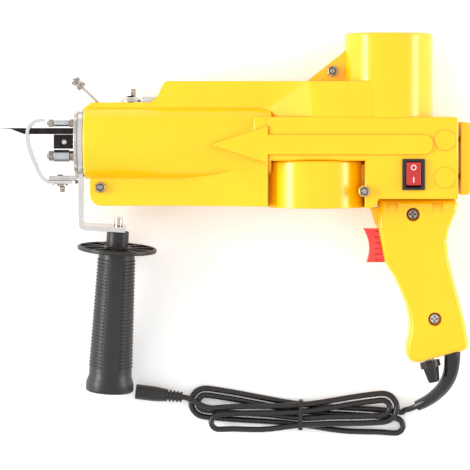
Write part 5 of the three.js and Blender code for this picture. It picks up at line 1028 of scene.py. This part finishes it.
@dataclass
class Controls:
    """Rocker switch, trigger and speed knob."""

    shop: Workshop
    switch_x: float = 127.4
    switch_y: float = 29.7
    pivot_z: float = 28.5
    crest: float = 5.4
    tilt: float = 7.0
    face_fall: float = 0.9
    face_reach: float = 8.2
    mark_distance: float = 4.4
    ring_radii: tuple[float, float] = (1.35, 1.95)
    ring_sides: int = 40
    bar_half_width: float = 0.35
    bar_half_length: float = 1.9
    ink: float = 0.12

    def build(self) -> None:
        """Makes the controls and the marks on the rocker."""
        shop = self.shop
        shop.refine("switch_body", BLACK_NYLON, Body.MACHINE, 0.35)
        shop.refine("rocker", ROCKER_POLYCARBONATE, Body.ROCKER, 0.3)
        shop.refine("trigger", RED_ABS, Body.TRIGGER, 0.12)
        shop.refine("speed_knob", BLACK_NYLON, Body.KNOB, 0.25)
        self.marks()

    def marks(self) -> None:
        """Prints the circle and the bar on the rocker's two faces."""
        fall = math.atan2(self.face_fall, self.face_reach)
        height = self.crest - self.face_fall + self.face_fall * self.mark_distance / self.face_reach
        inner, outer = self.ring_radii
        for name, side in (("rocker_mark_off", 1), ("rocker_mark_on", -1)):
            if side > 0:
                ring = [(inner, 0.0), (outer, 0.0), (outer, self.ink), (inner, self.ink)]
                bm = turned(ring, Vector(), Vector((0, 0, 1)), self.ring_sides)
            else:
                corner = Vector((self.bar_half_width, self.bar_half_length, 0.0))
                bm = block(-corner, corner + Vector((0, 0, self.ink)))
            place = (
                Matrix.Translation((self.switch_x, self.switch_y, self.pivot_z))
                @ Matrix.Rotation(math.radians(-self.tilt), 4, "X")
                @ Matrix.Translation((0, side * self.mark_distance, height))
                @ Matrix.Rotation(side * fall, 4, "X")
            )
            bmesh.ops.transform(bm, matrix=place, verts=bm.verts)
            self.shop.finished(name, bm, WHITE_INK, Body.ROCKER, "rocker_red")


@dataclass
class PowerCord:
    """Strain relief, cord with its hank, tie and socket. Points are in millimetres above the surface."""

    shop: Workshop
    radius: float = 2.1
    seam: float = 0.3
    step: float = 5.05
    hank_x: float = 48.5
    hank_y: float = -147.3
    hank_turn: float = -1.0
    hank_fan: float = 6.0
    lower_half_span: float = 70.0
    upper_half_span: float = 60.0
    end_radius: float = 10.5
    waist: float = 7.5
    tie_lift: float = 1.5
    lift_reach: float = 34.0
    run_steps: int = 12
    bend_steps: int = 10
    relief_spacing: float = 2.0
    cord_spacing: float = 1.6
    cord_in_socket: float = 1.0
    loops: tuple[tuple[int, int | None, int, int | None, int], ...] = (
        (0, 1, 2, None, 0),
        (1, 1, 0, 1, 0),
        (1, 0, 0, None, 1),
        (0, None, 0, None, 1),
    )
    relief_top_radius: float = 6.2
    relief_end_radius: float = 3.9
    relief_sides: int = 36
    relief_route: tuple[tuple[float, float, float], ...] = (
        (157.3, -94.5, 35.3),
        (157.3, -99.5, 35.3),
        (157.2, -107, 34.2),
        (156, -115.5, 30.6),
        (152.6, -124, 24.4),
        (146.8, -131.5, 17),
        (140, -137.2, 10.6),
        (134, -140.6, 6.8),
    )
    lead_route: tuple[tuple[float, float, float], ...] = ((128.6, -143.2, 4.4), (124, -144.6, 2.9))
    tail_route: tuple[tuple[float, float, float], ...] = ((-24, -140.4, 7.4), (-31, -136.4, 7.1))
    mouth: tuple[float, float, float] = (-72, -130.4, 5.9)
    socket: tuple[float, float, float] = (-38, -134.5, 5.9)
    socket_profile: tuple[tuple[float, float], ...] = (
        (0.0, 1.5),
        (0.9, 1.6),
        (0.9, 9.0),
        (3.3, 9.0),
        (3.3, 0.4),
        (3.6, 0.0),
        (5.1, 0.0),
        (5.5, 0.4),
        (5.5, 13.0),
        (5.4, 15.0),
        (4.7, 21.4),
        (4.3, 22.0),
    )
    socket_sides: int = 44
    socket_dish: float = 1.0
    fins: int = 5
    fin_first_radius: float = 4.6
    fin_last_radius: float = 3.8
    fin_root_radius: float = 3.1
    fin_edge_in: float = 0.15
    fin_edge_along: float = 0.2
    fin_share: float = 0.6
    gap_share: tuple[float, float] = (0.62, 0.98)
    boot_pitches: float = 4.6
    boot_end_radius: float = 2.2

    def half_span(self, layer: float) -> float:
        """Distance from the tie to the middle of the end bends of a layer."""
        return self.lower_half_span + (self.upper_half_span - self.lower_half_span) * layer

    def hank_point(self, along: float, across: float, up: float, layer: float) -> Vector:
        """A point of the hank from its own axes, which fan out with the layer: along, across and up."""
        turn = math.radians(self.hank_turn + (2 * layer - 1) * self.hank_fan)
        return Vector(
            (
                self.hank_x + along * math.cos(turn) - across * math.sin(turn),
                self.hank_y + along * math.sin(turn) + across * math.cos(turn),
                up,
            )
        )

    @staticmethod
    def third_step(share: float, third: int) -> float:
        """Rises from nought to one within one third of a run."""
        x = min(max(share * 3 - third, 0.0), 1.0)
        return x * x * (3 - 2 * x)

    def hank_line(self) -> list[Vector]:
        """The middle line of the hank: four loops in two layers.

        Each row of loops says how far in the loop starts and ends, in which third of its return run it
        changes, in which third it climbs to the next layer, and its layer.

        Returns:
            Its points in millimetres above the surface.
        """
        runs = self.run_steps
        bends = self.bend_steps
        base = self.radius + self.seam
        points: list[Vector] = []

        def add(part: float, side: int, inner: float, layer: float) -> None:
            """Adds a point of a run."""
            along = part * self.half_span(layer)
            draw = math.sin(math.pi * part / 2) ** 2
            across = self.waist + (self.end_radius - self.waist) * draw - inner * self.step
            lift = self.tie_lift * max(0.0, 1 - (along / self.lift_reach) ** 2) ** 2
            points.append(self.hank_point(along, side * across, base + lift + layer * self.step, layer))

        def bend(end: int, inner: float, layer: float) -> None:
            """Adds the points of an end bend."""
            radius = self.end_radius - inner * self.step
            for i in range(1, bends + 1):
                angle = math.pi * i / bends
                along = end * (self.half_span(layer) + radius * math.sin(angle))
                across = -end * radius * math.cos(angle)
                points.append(self.hank_point(along, across, base + layer * self.step, layer))

        for number, (inner_from, inner_to, third, climb, up) in enumerate(self.loops):
            for i in range(0 if number == 0 else 1, runs + 1):
                add(1 - 2 * i / runs, 1, inner_from, up)
            if inner_to is None:
                break
            bend(-1, inner_from, up)
            for i in range(1, runs + 1):
                share = i / runs
                inner = inner_from + (inner_to - inner_from) * self.third_step(share, third)
                layer = up if climb is None else up + self.third_step(share, climb)
                add(2 * share - 1, -1, inner, layer)
            bend(1, inner_to, up + (0 if climb is None else 1))
        return points

    def relief_line(self) -> list[Vector]:
        """Evenly spaced points down the strain relief."""
        return smooth_line([Vector(p) for p in self.relief_route], self.relief_spacing)

    def cord_line(self) -> list[Vector]:
        """The whole cord's middle line from the strain relief's end into the socket."""
        relief = self.relief_line()
        end = relief[-1]
        outwards = (relief[-1] - relief[-2]).normalized()
        hank = self.hank_line()
        socket = Vector(self.socket)
        into = (Vector(self.mouth) - socket).normalized()
        inwards = (hank[1] - hank[0]).normalized()
        away = (hank[-1] - hank[-2]).normalized()
        route = [
            end,
            end + outwards * self.radius,
            *[Vector(p) for p in self.lead_route],
            hank[0] - inwards * 2 * self.radius,
            *hank,
            hank[-1] + away * 2 * self.radius,
            *[Vector(p) for p in self.tail_route],
            socket - into * self.radius,
            socket + into * self.cord_in_socket,
        ]
        return smooth_line(route, self.cord_spacing)

    def build(self) -> None:
        """Makes the cord and what is on it."""
        line = [p * MM for p in self.cord_line()]
        cable = tube_curve("power_cord", line, self.radius * MM)
        cable.data.materials.append(PVC_SHEATH.material())
        self.shop.settle(cable, Body.MACHINE, "black_rubber", ("cord_lead", "cord_hank", "cord_tail"))
        relief = self.relief()
        socket = self.connector()
        tie = self.shop.refine("cord_tie", BLACK_NYLON, Body.MACHINE, 0.25)

    def relief(self) -> bpy.types.Object:
        """The smooth, tapered strain relief."""
        line = self.relief_line()
        bm = bmesh.new()
        last = len(line) - 1
        rings = []
        for i, point in enumerate(line):
            radius = self.relief_top_radius + (self.relief_end_radius - self.relief_top_radius) * i / last
            tangent = (line[min(i + 1, last)] - line[max(i - 1, 0)]).normalized()
            ring = bmesh.ops.create_circle(
                bm, cap_ends=False, radius=radius, segments=self.relief_sides
            )["verts"]
            bmesh.ops.transform(bm, matrix=Matrix.Translation(point) @ turn_onto(tangent), verts=ring)
            rings.append(ring)
        for first, second in zip(rings, rings[1:]):
            edges = {e for v in first + second for e in v.link_edges if e.is_boundary or e.is_wire}
            wires = [e for e in edges if set(e.verts) <= set(first) or set(e.verts) <= set(second)]
            bmesh.ops.bridge_loops(bm, edges=wires)
        bmesh.ops.holes_fill(bm, edges=bm.edges, sides=0)
        bmesh.ops.recalc_face_normals(bm, faces=bm.faces)
        bmesh.ops.translate(bm, vec=(0, 0, -PARTING_HEIGHT), verts=bm.verts)
        return self.shop.finished(
            "strain_relief_sleeve", bm, PVC_SHEATH, Body.MACHINE, "black_rubber", ("strain_relief",)
        )

    def connector(self) -> bpy.types.Object:
        """The socket at the cord's end, with its mouth, pin and finned boot."""
        mouth, socket = Vector(self.mouth), Vector(self.socket)
        length = (socket - mouth).length
        profile = list(self.socket_profile)
        boot = profile[-1][1]
        pitch = (length - boot) / self.boot_pitches
        last = self.fins - 1
        for i in range(self.fins):
            start = boot + i * pitch
            end = start + pitch * self.fin_share
            fin = self.fin_first_radius + (self.fin_last_radius - self.fin_first_radius) * i / last
            profile += [(fin - self.fin_edge_in, start), (fin, start + self.fin_edge_along)]
            profile += [(fin, end - self.fin_edge_along), (fin - self.fin_edge_in, end)]
            if i < last:
                profile += [(self.fin_root_radius, start + pitch * share) for share in self.gap_share]
        profile += [(self.boot_end_radius, length), (0.0, length - self.socket_dish)]
        down = Vector((0, 0, -PARTING_HEIGHT))
        return self.shop.finished(
            "cord_socket",
            turned(profile, mouth + down, socket - mouth, self.socket_sides),
            BLACK_NYLON,
            Body.MACHINE,
            "black_plastic",
            ("cord_connector",),
        )


def main() -> None:
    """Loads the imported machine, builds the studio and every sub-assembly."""
    logging.basicConfig(level=logging.INFO, format="%(name)s: %(message)s")
    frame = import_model()
    bpy.context.scene.view_settings.view_transform = "Standard"
    shop = Workshop(frame)
    Studio().build()
    PowerCord(shop).build()
    for kind in (Shell, Fasteners, Drive, FrontEnd, SideHandle, TopFittings, Controls):
        kind(shop).build()
        LOG.info("%s is done", kind.__name__)


if __name__ == "__main__":
    main()
